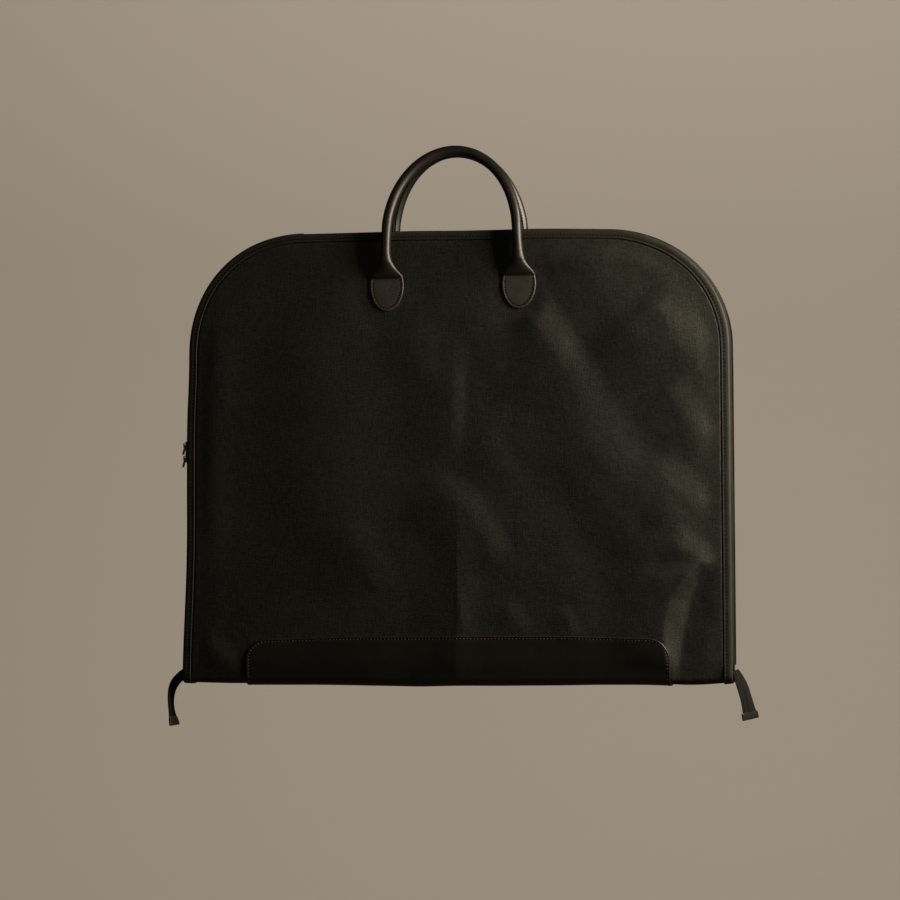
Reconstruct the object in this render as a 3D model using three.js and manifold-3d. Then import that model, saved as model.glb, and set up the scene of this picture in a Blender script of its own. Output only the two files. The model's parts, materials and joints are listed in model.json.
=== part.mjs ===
// Folding garment bag (suit carrier). Two shallow fabric halves, front and back, are joined by a
// fold along the bottom and closed round the sides and top by one zip. Each half has a rolled
// leather handle, a bound edge, a lining and a spring edge wire. It is folded, zipped and empty,
// and hangs by its handles.
//
// Frame: millimetres, +Z up, front face towards -Y, left towards -X, origin at the centre of the
// underside of the leather base. "Depth" is a distance from the mid-plane (y = 0), so that one
// recipe makes both halves. "Inset" is a distance inwards from the bag's outline.
import * as THREE from 'three';
import { mergeVertices } from 'three/addons/utils/BufferGeometryUtils.js';
import { ConvexGeometry } from 'three/addons/geometries/ConvexGeometry.js';
import Module from 'manifold-3d';

const wasm = await Module();
wasm.setup();

// ---------------------------------------------------------------- body
const WIDTH = 600;             // of the folded bag
const HEIGHT = 495;            // top edge above the leather underside
const CORNER_R = 130;          // the two top corners
const CORNER_STEPS = 12;
const HALF_DEPTH = 15;         // mid-plane to the outer face of each half
const EDGE_X = WIDTH / 2;
const CLOTH = 1.2;             // outer fabric with its backing
const LINING = 0.5;
const LEATHER = 1.6;
const GAP = 0.3;               // clearance between neighbouring layers
const TRIM_DEPTH = HALF_DEPTH + GAP;   // underside of everything sewn on a face
const FOLD_Z = 1.9;            // height of both fold lines
const PANEL_FOOT = FOLD_Z + 1.6;       // lower edge of the panels and gussets
const TRIM_FOOT = FOLD_Z + 2;          // lower edge of the bindings and patches
const PANEL_INSET = 1.3;
const STIFFENER = [12.2, 13.5];        // depths of the edge wire and handle board
const BAND = 9;                // width of the edge binding on the face
const BAND_T = 1.9;            // folded binding over its piping
const BAND_TURN = 1;           // thickness of the binding where it turns round the edge

// leather base patch
const PATCH_W = 464;
const PATCH_X = 2;             // centre, off the bag's own
const PATCH_TOP = 53;
const PATCH_R = 23;

// ---------------------------------------------------------------- zip
const BULGE = 3;               // how far the zip wall stands out between the two bindings
const WALL_DEPTH = 13.5;       // where the bulge runs out
const ZIP_START = 0.6;         // depth at which tape and coil begin
const COIL_END = 3;            // depth at which the coil ends
const TAPE_INSET = [1.5, 2.3];
const COIL_INSET = [0.2, 1.2];
const ZIP_END = 20;            // where the zip leaves the side wall, near the bottom corners
const TAIL_W = 26;             // free end of the zip, both tapes together
const SLIDER_MEET = 258;       // height at which the two sliders meet
const SLIDER_LEN = 11.5;
const SLIDER_PLATE = 1.2;
const PULL_LEN = 10.5;
const PULL_TILT = 14;          // degrees a pull hangs away from the side

// ---------------------------------------------------------------- handles and straps
const HANDLE_X = 72.3;         // half the distance between a handle's two legs
const HANDLE_TOP = 584;        // centre line at its top
const ARCH_Z = 490;            // where the legs end and the arch begins
const HANDLE_R = 5.6;          // rolled leather tube
const BORE_R = 4.6;            // inside of the tube
const CORE_R = 3.9;            // rope core inside the tube
const PIVOT_Z = 450;           // stitch line about which a handle folds down
const CHAPE_W = 37.4;          // stitched leather end of a handle
const CHAPE_X = 73;            // half the distance between the centres of a handle's two ends
const CHAPE_LOW = 408;
const CHAPE_TOP = 448.4;
const CHAPE_T = 2.3;
const STRAP_W = 25;            // retaining webbing
const STRAP_END = 288;         // where it is sewn to the sides

const HALVES = [['front', -1], ['back', 1]];
const SIDES = [['left', -1], ['right', 1]];

// ---------------------------------------------------------------- finishes
const finish = (settings) => new THREE.MeshStandardMaterial(settings);
const SHELL = finish({ color: 0x1d1c19, roughness: 0.75 });
const INNER = finish({ color: 0x26251f, roughness: 0.9 });
const TAPE = finish({ color: 0x1a1917, roughness: 0.8 });
const WEB = finish({ color: 0x171714, roughness: 0.8 });
const HIDE = finish({ color: 0x1b1915, roughness: 0.45 });
const COIL = finish({ color: 0x141412, roughness: 0.5 });
const BOARD = finish({ color: 0x0f0f0f, roughness: 0.6 });
const ROPE = finish({ color: 0xb9ad96, roughness: 0.95 });
const PLASTIC = finish({ color: 0x121212, roughness: 0.45 });
const METAL = finish({ color: 0x5c5952, roughness: 0.35, metalness: 1 });
const WIRE = finish({ color: 0x8a8a88, roughness: 0.4, metalness: 1 });

const group = new THREE.Group();
function add(name, geometry, material) {
  const mesh = new THREE.Mesh(geometry, material);
  mesh.name = name;
  group.add(mesh);
}

// ---------------------------------------------------------------- solid helpers
function solid(geometry) {
  const bare = geometry.clone();
  for (const key of Object.keys(bare.attributes)) {
    if (key !== 'position') bare.deleteAttribute(key);
  }
  const merged = mergeVertices(bare, 1e-4);
  return new wasm.Manifold(new wasm.Mesh({
    numProp: 3,
    vertProperties: new Float32Array(merged.attributes.position.array),
    triVerts: new Uint32Array(merged.index.array),
  }));
}

function geometryOf(manifold) {
  const mesh = manifold.getMesh();
  const geometry = new THREE.BufferGeometry();
  const positions = new Float32Array(mesh.vertProperties);
  geometry.setAttribute('position', new THREE.BufferAttribute(positions, 3));
  geometry.setIndex(Array.from(mesh.triVerts));
  geometry.computeVertexNormals();
  return geometry;
}

const join = (first, ...rest) =>
  geometryOf(rest.reduce((sum, piece) => sum.add(solid(piece)), solid(first)));
const cut = (from, ...tools) =>
  geometryOf(tools.reduce((left, tool) => left.subtract(solid(tool)), solid(from)));

function box(x0, x1, y0, y1, z0, z1) {
  const geometry = new THREE.BoxGeometry(x1 - x0, y1 - y0, z1 - z0);
  return geometry.translate((x0 + x1) / 2, (y0 + y1) / 2, (z0 + z1) / 2);
}

const vectors = (points) => points.map(([x, z]) => new THREE.Vector2(x, z));

// A closed outline in the X-Z plane, given thickness from y0 to y1.
function plate(points, y0, y1, { holes = [], steps = 1 } = {}) {
  const shape = new THREE.Shape(vectors(points));
  for (const hole of holes) shape.holes.push(new THREE.Path(vectors(hole)));
  const settings = { depth: y1 - y0, bevelEnabled: false, steps };
  const geometry = new THREE.ExtrudeGeometry(shape, settings);
  return geometry.rotateX(Math.PI / 2).translate(0, y1, 0);
}

// The range near..far on the positive or negative side of zero, in rising order.
const mirrored = (sign, near, far) => (sign < 0 ? [-far, -near] : [near, far]);

// A plate between two depths of the front (-1) or back (+1) half.
const layer = (sign, points, near, far, options) =>
  plate(points, ...mirrored(sign, near, far), options);

// ---------------------------------------------------------------- outlines
// From the bottom left, over two rounded upper corners, to the bottom right.
function roundedTop({ centre = 0, halfWidth, low, high, radius, steps }) {
  const points = [[centre - halfWidth, low]];
  for (const [sign, start] of [[-1, Math.PI], [1, Math.PI / 2]]) {
    const cornerX = centre + sign * (halfWidth - radius);
    for (let i = 0; i <= steps; i++) {
      const angle = start - (Math.PI / 2) * (i / steps);
      points.push([
        cornerX + radius * Math.cos(angle),
        high - radius + radius * Math.sin(angle),
      ]);
    }
  }
  points.push([centre + halfWidth, low]);
  return points;
}

// The bag's own outline, set in from the edge.
const face = (inset, low) => roundedTop({
  halfWidth: EDGE_X - inset,
  low,
  high: HEIGHT - inset,
  radius: CORNER_R - inset,
  steps: CORNER_STEPS,
});

// A band along the sides and top between two insets, open at the bottom.
const band = (outer, inner, low) => face(outer, low).concat(face(inner, low).reverse());

// Shield: straight top, straight upper sides, rounded foot.
function shield(centre, width, low, top) {
  const halfWidth = width / 2;
  const topHalf = halfWidth * 0.93;
  const shoulderZ = top - 6;
  const footZ = top - 12;      // where the rounded foot begins
  const points = [[centre - topHalf, top], [centre - halfWidth, shoulderZ]];
  for (let i = 0; i <= 12; i++) {
    const angle = Math.PI + Math.PI * (i / 12);
    points.push([
      centre + halfWidth * Math.cos(angle),
      footZ + (footZ - low) * Math.sin(angle),
    ]);
  }
  points.push([centre + halfWidth, shoulderZ], [centre + topHalf, top]);
  return points.reverse();
}

// Moves every point of a wall outwards across the outline by an amount that depends on its depth.
function bulge(geometry, amount) {
  const position = geometry.attributes.position;
  const cornerX = EDGE_X - CORNER_R;
  const cornerZ = HEIGHT - CORNER_R;
  for (let i = 0; i < position.count; i++) {
    const x = position.getX(i);
    const z = position.getZ(i);
    const shift = amount(Math.abs(position.getY(i)));
    if (z <= cornerZ) {
      position.setX(i, x + Math.sign(x) * shift);
    } else if (Math.abs(x) <= cornerX) {
      position.setZ(i, z + shift);
    } else {
      const dx = Math.abs(x) - cornerX;
      const dz = z - cornerZ;
      const length = Math.hypot(dx, dz);
      position.setX(i, x + (Math.sign(x) * shift * dx) / length);
      position.setZ(i, z + (shift * dz) / length);
    }
  }
  geometry.computeVertexNormals();
  return geometry;
}
const wallBulge = (depth) => BULGE * (1 - Math.min(1, depth / WALL_DEPTH) ** 2);
const COIL_BULGE = wallBulge((ZIP_START + COIL_END) / 2);

// ---------------------------------------------------------------- fabric and edges of one half
function addBody(prefix, sign) {
  const panel = layer(sign, face(PANEL_INSET, PANEL_FOOT), HALF_DEPTH - CLOTH, HALF_DEPTH);
  add(`${prefix}_panel`, panel, SHELL);
  add(`${prefix}_lining`, layer(sign, face(3.2, FOLD_Z + 3.5), 11.4, 11.4 + LINING), INNER);
  add(`${prefix}_edge_wire`, layer(sign, band(3.4, 5.2, 8), ...STIFFENER), WIRE);
  const board = [[-105, 400], [105, 400], [105, 470], [97, 478], [-97, 478], [-105, 470]];
  add(`${prefix}_handle_board`, layer(sign, board, ...STIFFENER), BOARD);

  // a folded band over piping on the face, turned round the edge onto the zip wall
  add(`${prefix}_binding`, join(
    layer(sign, band(0, BAND, TRIM_FOOT), TRIM_DEPTH, TRIM_DEPTH + BAND_T),
    layer(sign, band(0, BAND_TURN, TRIM_FOOT), 13, TRIM_DEPTH + 0.5),
  ), SHELL);

  const tape = layer(sign, band(...TAPE_INSET, ZIP_END), ZIP_START, WALL_DEPTH, { steps: 3 });
  add(`${prefix}_zip_tape`, bulge(tape, wallBulge), TAPE);
  const coil = layer(sign, band(...COIL_INSET, ZIP_END), ZIP_START, COIL_END);
  add(`${prefix}_zip_coil`, bulge(coil, () => COIL_BULGE), COIL);

  const patch = roundedTop({
    centre: PATCH_X,
    halfWidth: PATCH_W / 2,
    low: TRIM_FOOT,
    high: PATCH_TOP,
    radius: PATCH_R,
    steps: 6,
  });
  add(`${prefix}_patch`, layer(sign, patch, TRIM_DEPTH, TRIM_DEPTH + LEATHER), HIDE);
}

// ---------------------------------------------------------------- rolled handle of one half
// Centre line of a leg: z, distance from x = 0, depth.
const LEG = [[462, 73.2, 22.6], [470, 73.2, 23.2], [480, 72.8, 23.6]];
// Neck from the chape up to the tube: z, half width, near depth, far depth.
const NECK = [
  [PIVOT_Z + 2.9, 16.8, 16.5, 18.7],
  [457, 12.5, 17.2, 20.0],
  [466, 5.0, 18.6, 25.5],
];

// The legs rise in front of the bound edge, then the arch leans in towards the mid-plane.
function handlePath(sign, low) {
  const leg = LEG.filter(([z]) => z >= low);
  const points = leg.map(([z, x, depth]) => new THREE.Vector3(-x, sign * depth, z));
  const steps = 14;
  for (let i = 0; i <= steps; i++) {
    const angle = Math.PI - Math.PI * (i / steps);
    const rise = Math.sin(angle);
    points.push(new THREE.Vector3(
      HANDLE_X * Math.cos(angle),
      sign * (23.7 - 17.1 * rise ** 1.35),
      ARCH_Z + (HANDLE_TOP - ARCH_Z) * rise,
    ));
  }
  for (const [z, x, depth] of leg.reverse()) {
    points.push(new THREE.Vector3(x, sign * depth, z));
  }
  return new THREE.CatmullRomCurve3(points);
}

function polygon(radius, sides) {
  const points = [];
  for (let i = 0; i < sides; i++) {
    const angle = ((i + 0.5) / sides) * Math.PI * 2;
    points.push(new THREE.Vector2(radius * Math.cos(angle), radius * Math.sin(angle)));
  }
  return points;
}

function neck(sign, centre) {
  const corners = [];
  for (const [z, halfWidth, ...depths] of NECK) {
    for (const dx of [-halfWidth, halfWidth]) {
      for (const depth of depths) corners.push(new THREE.Vector3(centre + dx, sign * depth, z));
    }
  }
  return new ConvexGeometry(corners);
}

function addHandle(prefix, sign) {
  for (const [side, sideSign] of SIDES) {
    const chape = shield(sideSign * CHAPE_X, CHAPE_W, CHAPE_LOW, CHAPE_TOP);
    const geometry = layer(sign, chape, TRIM_DEPTH, TRIM_DEPTH + CHAPE_T);
    add(`${prefix}_chape_${side}`, geometry, HIDE);
  }
  const sweep = (shape, steps, low) =>
    new THREE.ExtrudeGeometry(shape, { steps, extrudePath: handlePath(sign, low) });
  const skin = new THREE.Shape(polygon(HANDLE_R, 8));
  skin.holes.push(new THREE.Path(polygon(BORE_R, 8)));
  const cover = join(sweep(skin, 31, 462), neck(sign, -CHAPE_X), neck(sign, CHAPE_X));
  add(`${prefix}_handle_cover`, cover, HIDE);
  add(`${prefix}_handle_core`, sweep(new THREE.Shape(polygon(CORE_R, 6)), 29, 470), ROPE);
}

// ---------------------------------------------------------------- retaining strap of one half
// Webbing across the inside, sewn to both sides and joined by a side-release buckle.
function addStrap(prefix, sign) {
  const strapZ = sign < 0 ? 250 : 150;
  const halfWeb = STRAP_W / 2;
  // a block centred on the strap's height
  const block = (x0, x1, near, far, halfHeight) =>
    box(x0, x1, ...mirrored(sign, near, far), strapZ - halfHeight, strapZ + halfHeight);

  add(`${prefix}_strap_left`, block(-STRAP_END, -28.4, 9.9, 11.1, halfWeb), WEB);
  add(`${prefix}_strap_right`, block(45, STRAP_END, 9.9, 11.1, halfWeb), WEB);
  add(`${prefix}_buckle_female`, cut(
    block(-28, 0, 5.1, 11.1, 15),
    block(-21, 1, 6.6, 9.6, 11),           // socket
    block(-26, -23.5, 4, 12, 12.8),        // webbing slot
    block(-14, -7, 4, 7, 7),               // window towards the mid-plane
  ), PLASTIC);
  add(`${prefix}_buckle_male`, cut(
    join(
      block(0.4, 14, 5.3, 11.1, 14.5),     // body
      block(-18.5, 0.6, 7.0, 9.2, 10.5),   // prong plate
    ),
    block(9, 11.5, 4, 12, 12.8),           // webbing slot
    block(-15, -3, 6, 10, 6.5),            // opening in the prong plate
  ), PLASTIC);
  add(`${prefix}_strap_tail`, block(14.4, 118, 8.3, 9.5, halfWeb), WEB);
}

for (const [prefix, sign] of HALVES) {
  addBody(prefix, sign);
  addHandle(prefix, sign);
  addStrap(prefix, sign);
}

// ---------------------------------------------------------------- fold between the halves
const BASE_X = EDGE_X - PANEL_INSET;
const BASE_PATCH = mirrored(1, PATCH_X - PATCH_W / 2, PATCH_X + PATCH_W / 2);
add('base_panel', box(-BASE_X, BASE_X, -13.4, 13.4, FOLD_Z, FOLD_Z + CLOTH), SHELL);
add('base_patch', box(...BASE_PATCH, -13, 13, 0, LEATHER), HIDE);
add('base_lining', box(-296, 296, -11, 11, 5, 5 + LINING), INNER);
for (const [side, sign] of SIDES) {
  // a block on this side between two insets, reaching halfDepth either way from the mid-plane
  const block = (outer, inner, halfDepth, z0, z1) =>
    box(...mirrored(sign, EDGE_X - inner, EDGE_X - outer), -halfDepth, halfDepth, z0, z1);
  add(`base_binding_${side}`, join(
    block(0, BAND, 13, 0, LEATHER),
    block(0, BAND_TURN, 12.7, LEATHER - 0.4, 3.6),
  ), SHELL);
  add(`base_gusset_${side}`, block(...TAPE_INSET, 12, PANEL_FOOT, ZIP_END - 2.5), TAPE);
}

// ---------------------------------------------------------------- free ends of the zip
// Both tapes run on past the bottom corner and hang down. Centre lines: x, z.
const TAILS = {
  left: [
    [-301.6, 16.5], [-309, 11], [-316.2, 4], [-320.4, -5],
    [-321.8, -17], [-320.6, -29.5], [-317.6, -44],
  ],
  right: [[301.6, 16.5], [305.4, 8], [308.2, 1], [312, -11], [315, -23], [317.6, -35.6]],
};
const TAB_START = 0.85;        // curve parameter at which the sewn end tab begins

// Outline of a stretch of the centre line between two curve parameters.
function strip(centreLine, from, to, steps, halfThickness) {
  const left = [];
  const right = [];
  for (let i = 0; i <= steps; i++) {
    const parameter = from + (to - from) * (i / steps);
    const centre = centreLine.getPoint(parameter);
    const along = centreLine.getTangent(parameter);
    const dx = -along.z * halfThickness;
    const dz = along.x * halfThickness;
    left.push([centre.x + dx, centre.z + dz]);
    right.push([centre.x - dx, centre.z - dz]);
  }
  return right.concat(left.reverse());
}

for (const [side, path] of Object.entries(TAILS)) {
  const centreLine = new THREE.CatmullRomCurve3(path.map(([x, z]) => new THREE.Vector3(x, 0, z)));
  const halfTape = TAIL_W / 2;
  const halfTab = halfTape + 1;
  const tape = strip(centreLine, 0, TAB_START - 0.008, 9, 0.7);
  add(`zip_tail_${side}`, plate(tape, -halfTape, halfTape), TAPE);
  const tab = strip(centreLine, TAB_START, 1, 2, 1.6);
  add(`zip_end_tab_${side}`, plate(tab, -halfTab, halfTab), HIDE);
}

// ---------------------------------------------------------------- sliders on the left side
const COIL_X = -(EDGE_X - COIL_INSET[0] + COIL_BULGE);   // outermost face of the coil
const SLIDER_X = COIL_X - 0.4;                           // inner face of the outer plate

function slider(low, pivotZ) {
  const high = low + SLIDER_LEN;
  const middle = low + SLIDER_LEN / 2;
  const innerFace = -EDGE_X + SLIDER_PLATE;
  const bail = (x1, z0, z1) => box(SLIDER_X - 4.7, x1, -0.8, 0.8, pivotZ + z0, pivotZ + z1);
  return join(
    box(SLIDER_X - SLIDER_PLATE, SLIDER_X, -4.5, 4.5, low, high),            // outer plate
    box(SLIDER_X - 0.2, innerFace, -0.3, 0.3, middle - 2.5, middle + 2.5),   // web, in the coil's gap
    box(-EDGE_X, innerFace, -4.2, 4.2, low, high),                           // inner plate
    bail(SLIDER_X - 1, 1.5, 2.4),                                            // upper foot
    bail(SLIDER_X - 1, -2.4, -1.5),                                          // lower foot
    bail(SLIDER_X - 3.8, -2.4, 2.4),                                         // bridge
  );
}

// A crossbar held under the bail, a window round the bridge and a pierced tongue.
function pull(pivotZ) {
  const geometry = cut(
    box(-0.5, 0.5, -2.7, 2.7, -PULL_LEN, 0.5),
    box(-2, 2, -1.5, 1.5, -3.7, -0.5),
    new THREE.CylinderGeometry(1, 1, 4, 10).rotateZ(Math.PI / 2).translate(0, 0, -8.1),
  );
  geometry.rotateY(THREE.MathUtils.degToRad(PULL_TILT));
  return geometry.translate(SLIDER_X - 2.5, 0, pivotZ);
}

// Slider: name, lower end, height of the pull's pivot.
for (const [place, low, pivotZ] of [
  ['upper', SLIDER_MEET + 0.2, SLIDER_MEET + 7.5],
  ['lower', SLIDER_MEET - 0.2 - SLIDER_LEN, SLIDER_MEET - 6.5],
]) {
  add(`slider_${place}`, slider(low, pivotZ), METAL);
  add(`pull_${place}`, pull(pivotZ), METAL);
}

// ---------------------------------------------------------------- hanger ring
// Inside the top of the front half: a D with its straight bar uppermost.
const RING_Y = -8;
const RING_R = 16;
const RING_T = 3.2;            // thickness of the ring's bow
const RING_TOP = 467.5;
const BAR_T = 3;
const BAR_Z = RING_TOP - BAR_T / 2;

function ringOutline(radius, top) {
  const points = [[-radius, top], [-radius, 460]];
  for (let i = 1; i < 8; i++) {
    const angle = Math.PI + Math.PI * (i / 8);
    points.push([radius * Math.cos(angle), 458 + radius * Math.sin(angle)]);
  }
  points.push([radius, 460], [radius, top]);
  return points;
}
add('hanger_ring', plate(ringOutline(RING_R, RING_TOP), RING_Y - 1.5, RING_Y + 1.5, {
  holes: [ringOutline(RING_R - RING_T, RING_TOP - BAR_T)],
}), WIRE);
// webbing loop round the ring's bar, closed above it
add('hanger_tab', cut(
  box(-9, 9, RING_Y - 3.2, RING_Y + 3.2, BAR_Z - 3.4, 486),
  box(-10, 10, RING_Y - 2.4, RING_Y + 2.4, BAR_Z - 2.5, 480),
), WEB);

// ---------------------------------------------------------------- pocket on the back lining
const POCKET_BACK = 11.1;      // y of the side against the lining
add('pocket_panel', box(-190, 190, 10.5, POCKET_BACK, 190, 398), INNER);
add('pocket_zip_tape', box(-185, 185, 10.3, POCKET_BACK, 399, 417), TAPE);

// slider body and bail, about the slider's centre with its back at y = 0
const pocketSlider = join(
  box(-5, 5, -1.4, 0, -3.6, 3.6),
  box(1.5, 2.4, -4.6, -1.2, -0.8, 0.8),
  box(-2.4, -1.5, -4.6, -1.2, -0.8, 0.8),
  box(-2.4, 2.4, -4.6, -3.8, -0.8, 0.8),
);
// windowed and pierced tongue lying towards -X from the bail
const pocketPull = cut(
  box(-14, 0.5, -0.5, 0.5, -2.7, 2.7),
  box(-3.7, -0.5, -2, 2, -1.5, 1.5),
  new THREE.CylinderGeometry(1.1, 1.1, 4, 10).translate(-11.4, 0, 0),
);
const POCKET_SLIDER = { x: -165, y: 10, z: 408 };
const { x, y, z } = POCKET_SLIDER;
add('pocket_slider', pocketSlider.translate(x, y, z), METAL);
add('pocket_pull', pocketPull.translate(x, y - 2.6, z), METAL);

export default group;
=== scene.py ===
"""Looks of a folding garment bag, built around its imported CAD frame.

The bag is folded in two, with the fold at the bottom near Z = 0 and the handles above its top edge.
X runs across it (left is -X) and Z up. The front half lies on the -Y side, the back half on +Y.
Lengths are in millimetres until a mesh is made. Materials, stage, lights and camera use metres.
"""
import math

import bmesh
import bpy
import numpy as np
from mathutils import Matrix, Vector
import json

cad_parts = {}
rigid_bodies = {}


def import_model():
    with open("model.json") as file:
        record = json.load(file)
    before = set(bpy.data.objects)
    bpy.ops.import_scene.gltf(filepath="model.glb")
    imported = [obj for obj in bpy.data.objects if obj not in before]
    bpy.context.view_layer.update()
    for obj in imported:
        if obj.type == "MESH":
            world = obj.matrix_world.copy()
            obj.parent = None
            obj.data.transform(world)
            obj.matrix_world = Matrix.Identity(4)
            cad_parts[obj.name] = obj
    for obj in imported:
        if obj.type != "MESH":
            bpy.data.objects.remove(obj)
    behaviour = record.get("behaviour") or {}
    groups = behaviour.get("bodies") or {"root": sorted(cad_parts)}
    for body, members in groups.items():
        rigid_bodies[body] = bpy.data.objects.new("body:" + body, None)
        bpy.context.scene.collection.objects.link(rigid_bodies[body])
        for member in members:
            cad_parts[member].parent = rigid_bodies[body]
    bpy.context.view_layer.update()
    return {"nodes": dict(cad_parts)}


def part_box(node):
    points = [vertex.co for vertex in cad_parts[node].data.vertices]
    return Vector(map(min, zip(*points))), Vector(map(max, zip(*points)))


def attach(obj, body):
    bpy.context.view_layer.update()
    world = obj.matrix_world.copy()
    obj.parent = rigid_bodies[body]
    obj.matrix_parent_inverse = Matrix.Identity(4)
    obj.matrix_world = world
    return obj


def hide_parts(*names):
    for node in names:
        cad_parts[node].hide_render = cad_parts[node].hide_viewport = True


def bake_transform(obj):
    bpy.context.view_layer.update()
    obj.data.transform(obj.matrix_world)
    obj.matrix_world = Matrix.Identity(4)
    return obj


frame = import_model()
NODES = frame["nodes"]
MM = 0.001
PI = math.pi
FRONT, BACK = -1, 1                       # the sign of Y on each side
HALF = {FRONT: "front", BACK: "back"}
ENDS = (("left", -1), ("right", 1))       # the sign of X at each end

# ------------------------------------------------------------------ sizes
_, _far_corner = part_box("front_binding")
HALF_WIDTH = round(_far_corner.x / MM, 3)
TOP_Z = round(_far_corner.z / MM, 3)
CORNER_R = 130.0                          # radius of the two top corners
STRAIGHT_X = HALF_WIDTH - CORNER_R        # where the top edge's straight part ends
STRAIGHT_Z = TOP_Z - CORNER_R             # where the sides' straight part ends

CLOTH_Y = 15.0                            # depth of the shell cloth from the mid-plane
BEND_Z, BEND_Y, BEND_R = 8.9, 8.0, 7.0    # centre and radius of the cloth's bend at the bottom
FOLD_RISE = BEND_Z - BEND_R * PI / 2 - BEND_Y  # unrolled height of the middle of the fold

ZIP_END = 20.0                            # height where the zip stops
ZIP_DEPTH = 13.5                          # depth of the zip tape's sewn edge
CHAPE_X = 73.0                            # a chape is the leather patch under a handle's end
CHAPE_Z = 428.0
PATCH_X = 2.0                             # how far the base patch sits off the middle


# ------------------------------------------------------------------ small maths
def smooth(start, end, x):
    t = np.clip((np.asarray(x, float) - start) / (end - start), 0, 1)
    return t * t * (3 - 2 * t)


def unit(vectors):
    return vectors / np.maximum(np.linalg.norm(vectors, axis=-1, keepdims=True), 1e-12)


def angles(count):
    """Evenly spaced angles round a circle."""
    return np.arange(count) * 2 * PI / count


def signed_power(value, power):
    return np.sign(value) * np.abs(value) ** power


def lattice(x, z, cell, seed):
    """Smooth noise between -1 and 1 with features of about one cell."""
    table = np.random.RandomState(seed).uniform(-1, 1, (256, 256))
    u, v = np.asarray(x, float) / cell + 50.3, np.asarray(z, float) / cell + 70.7
    i, j = np.floor(u).astype(int), np.floor(v).astype(int)
    u, v = u - i, v - j
    u, v = (t * t * t * (t * (t * 6 - 15) + 10) for t in (u, v))

    def at(p, q):
        return table[p % 256, q % 256]

    return ((at(i, j) * (1 - u) + at(i + 1, j) * u) * (1 - v)
            + (at(i, j + 1) * (1 - u) + at(i + 1, j + 1) * u) * v)


def run_lengths(points):
    """Length along a line of points, from its start to each point."""
    gaps = np.linalg.norm(np.diff(points, axis=0), axis=1)
    return np.concatenate([[0], np.cumsum(gaps)])


def sample(at, stations, rows):
    """Every column of a table of rows, interpolated."""
    return np.stack([np.interp(at, stations, column) for column in rows.T], 1)


def blurred(at, stations, values, taps):
    """Interpolated table, averaged over a few offsets to soften its kinks."""
    return sum(np.interp(at + tap, stations, values) for tap in taps) / len(taps)


def catmull(points, count):
    """Centripetal Catmull-Rom curve through the points, spaced evenly along its length."""
    points = np.asarray(points, float)
    total, curve = len(points), []
    for t in np.linspace(0, 1, 40 * total):
        spot = (total - 1) * t
        i = min(int(spot), total - 2)
        w = spot - i
        p1, p2 = points[i], points[i + 1]
        p0 = points[i - 1] if i > 0 else 2 * points[0] - points[1]
        p3 = points[i + 2] if i + 2 < total else 2 * points[-1] - points[-2]
        d0, d1, d2 = (max(np.linalg.norm(b - a) ** 0.5, 1e-4)
                      for a, b in ((p0, p1), (p1, p2), (p2, p3)))
        t1 = ((p1 - p0) / d0 - (p2 - p0) / (d0 + d1) + (p2 - p1) / d1) * d1
        t2 = ((p2 - p1) / d1 - (p3 - p1) / (d1 + d2) + (p3 - p2) / d2) * d1
        curve.append(p1 + t1 * w + (-3 * p1 + 3 * p2 - 2 * t1 - t2) * w * w
                     + (2 * p1 - 2 * p2 + t1 + t2) * w ** 3)
    curve = np.array(curve)
    lengths = run_lengths(curve)
    return sample(np.linspace(0, lengths[-1], count), lengths, curve)


def loop_normals(points):
    """Directions square to a closed flat line."""
    way = unit(np.roll(points, -1, 0) - np.roll(points, 1, 0))
    return np.stack([way[:, 1], -way[:, 0]], 1)


# ------------------------------------------------------------------ mesh helpers
def grid_faces(row_count, column_count, first=0, flip=False, around=False):
    i = np.arange(row_count - 1)[:, None] * column_count + first
    j = np.arange(column_count if around else column_count - 1)[None, :]
    after = (j + 1) % column_count
    above = i + column_count
    faces = np.stack([i + j, i + after, above + after, above + j], -1).reshape(-1, 4)
    return (faces[:, ::-1] if flip else faces).tolist()


def mesh(name, solid, finish, sharp=60):
    """Object from (points, faces). Edges steeper than the sharp angle, in degrees, stay crisp."""
    points, faces = solid
    data = bpy.data.meshes.new(name)
    data.from_pydata((np.asarray(points, float) * MM).tolist(), [], faces)
    data.update()
    edit = bmesh.new()
    edit.from_mesh(data)
    bmesh.ops.recalc_face_normals(edit, faces=edit.faces)
    edit.to_mesh(data)
    edit.free()
    data.polygons.foreach_set("use_smooth", [True] * len(data.polygons))
    if sharp:
        data.set_sharp_from_angle(angle=math.radians(sharp))
    data.materials.append(finish)
    piece = bpy.data.objects.new(name, data)
    bpy.context.scene.collection.objects.link(piece)
    return piece


def slab(outer, inner):
    """Closed solid between two grids of points of the same shape."""
    rows, columns = outer.shape[:2]
    count = rows * columns
    faces = grid_faces(rows, columns) + grid_faces(rows, columns, count, flip=True)
    rim = [i * columns for i in range(rows)]
    rim += [(rows - 1) * columns + j for j in range(1, columns)]
    rim += [i * columns + columns - 1 for i in range(rows - 2, -1, -1)]
    rim += list(range(columns - 2, 0, -1))
    for a, b in zip(rim, rim[1:] + rim[:1]):
        faces.append([a, b, b + count, a + count])
    return np.concatenate([outer.reshape(-1, 3), inner.reshape(-1, 3)]), faces


def tubes(rings):
    """Closed solids from rings of points, (solids, rings, around, 3), with flat caps."""
    solids, count, around = rings.shape[:3]
    size = count * around
    one = grid_faces(count, around, around=True)
    one += [list(range(around)), list(range(size - around, size))[::-1]]
    faces = [[i + k * size for i in face] for k in range(solids) for face in one]
    return rings.reshape(-1, 3), faces


def tube(rings):
    return tubes(rings[None])


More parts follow.
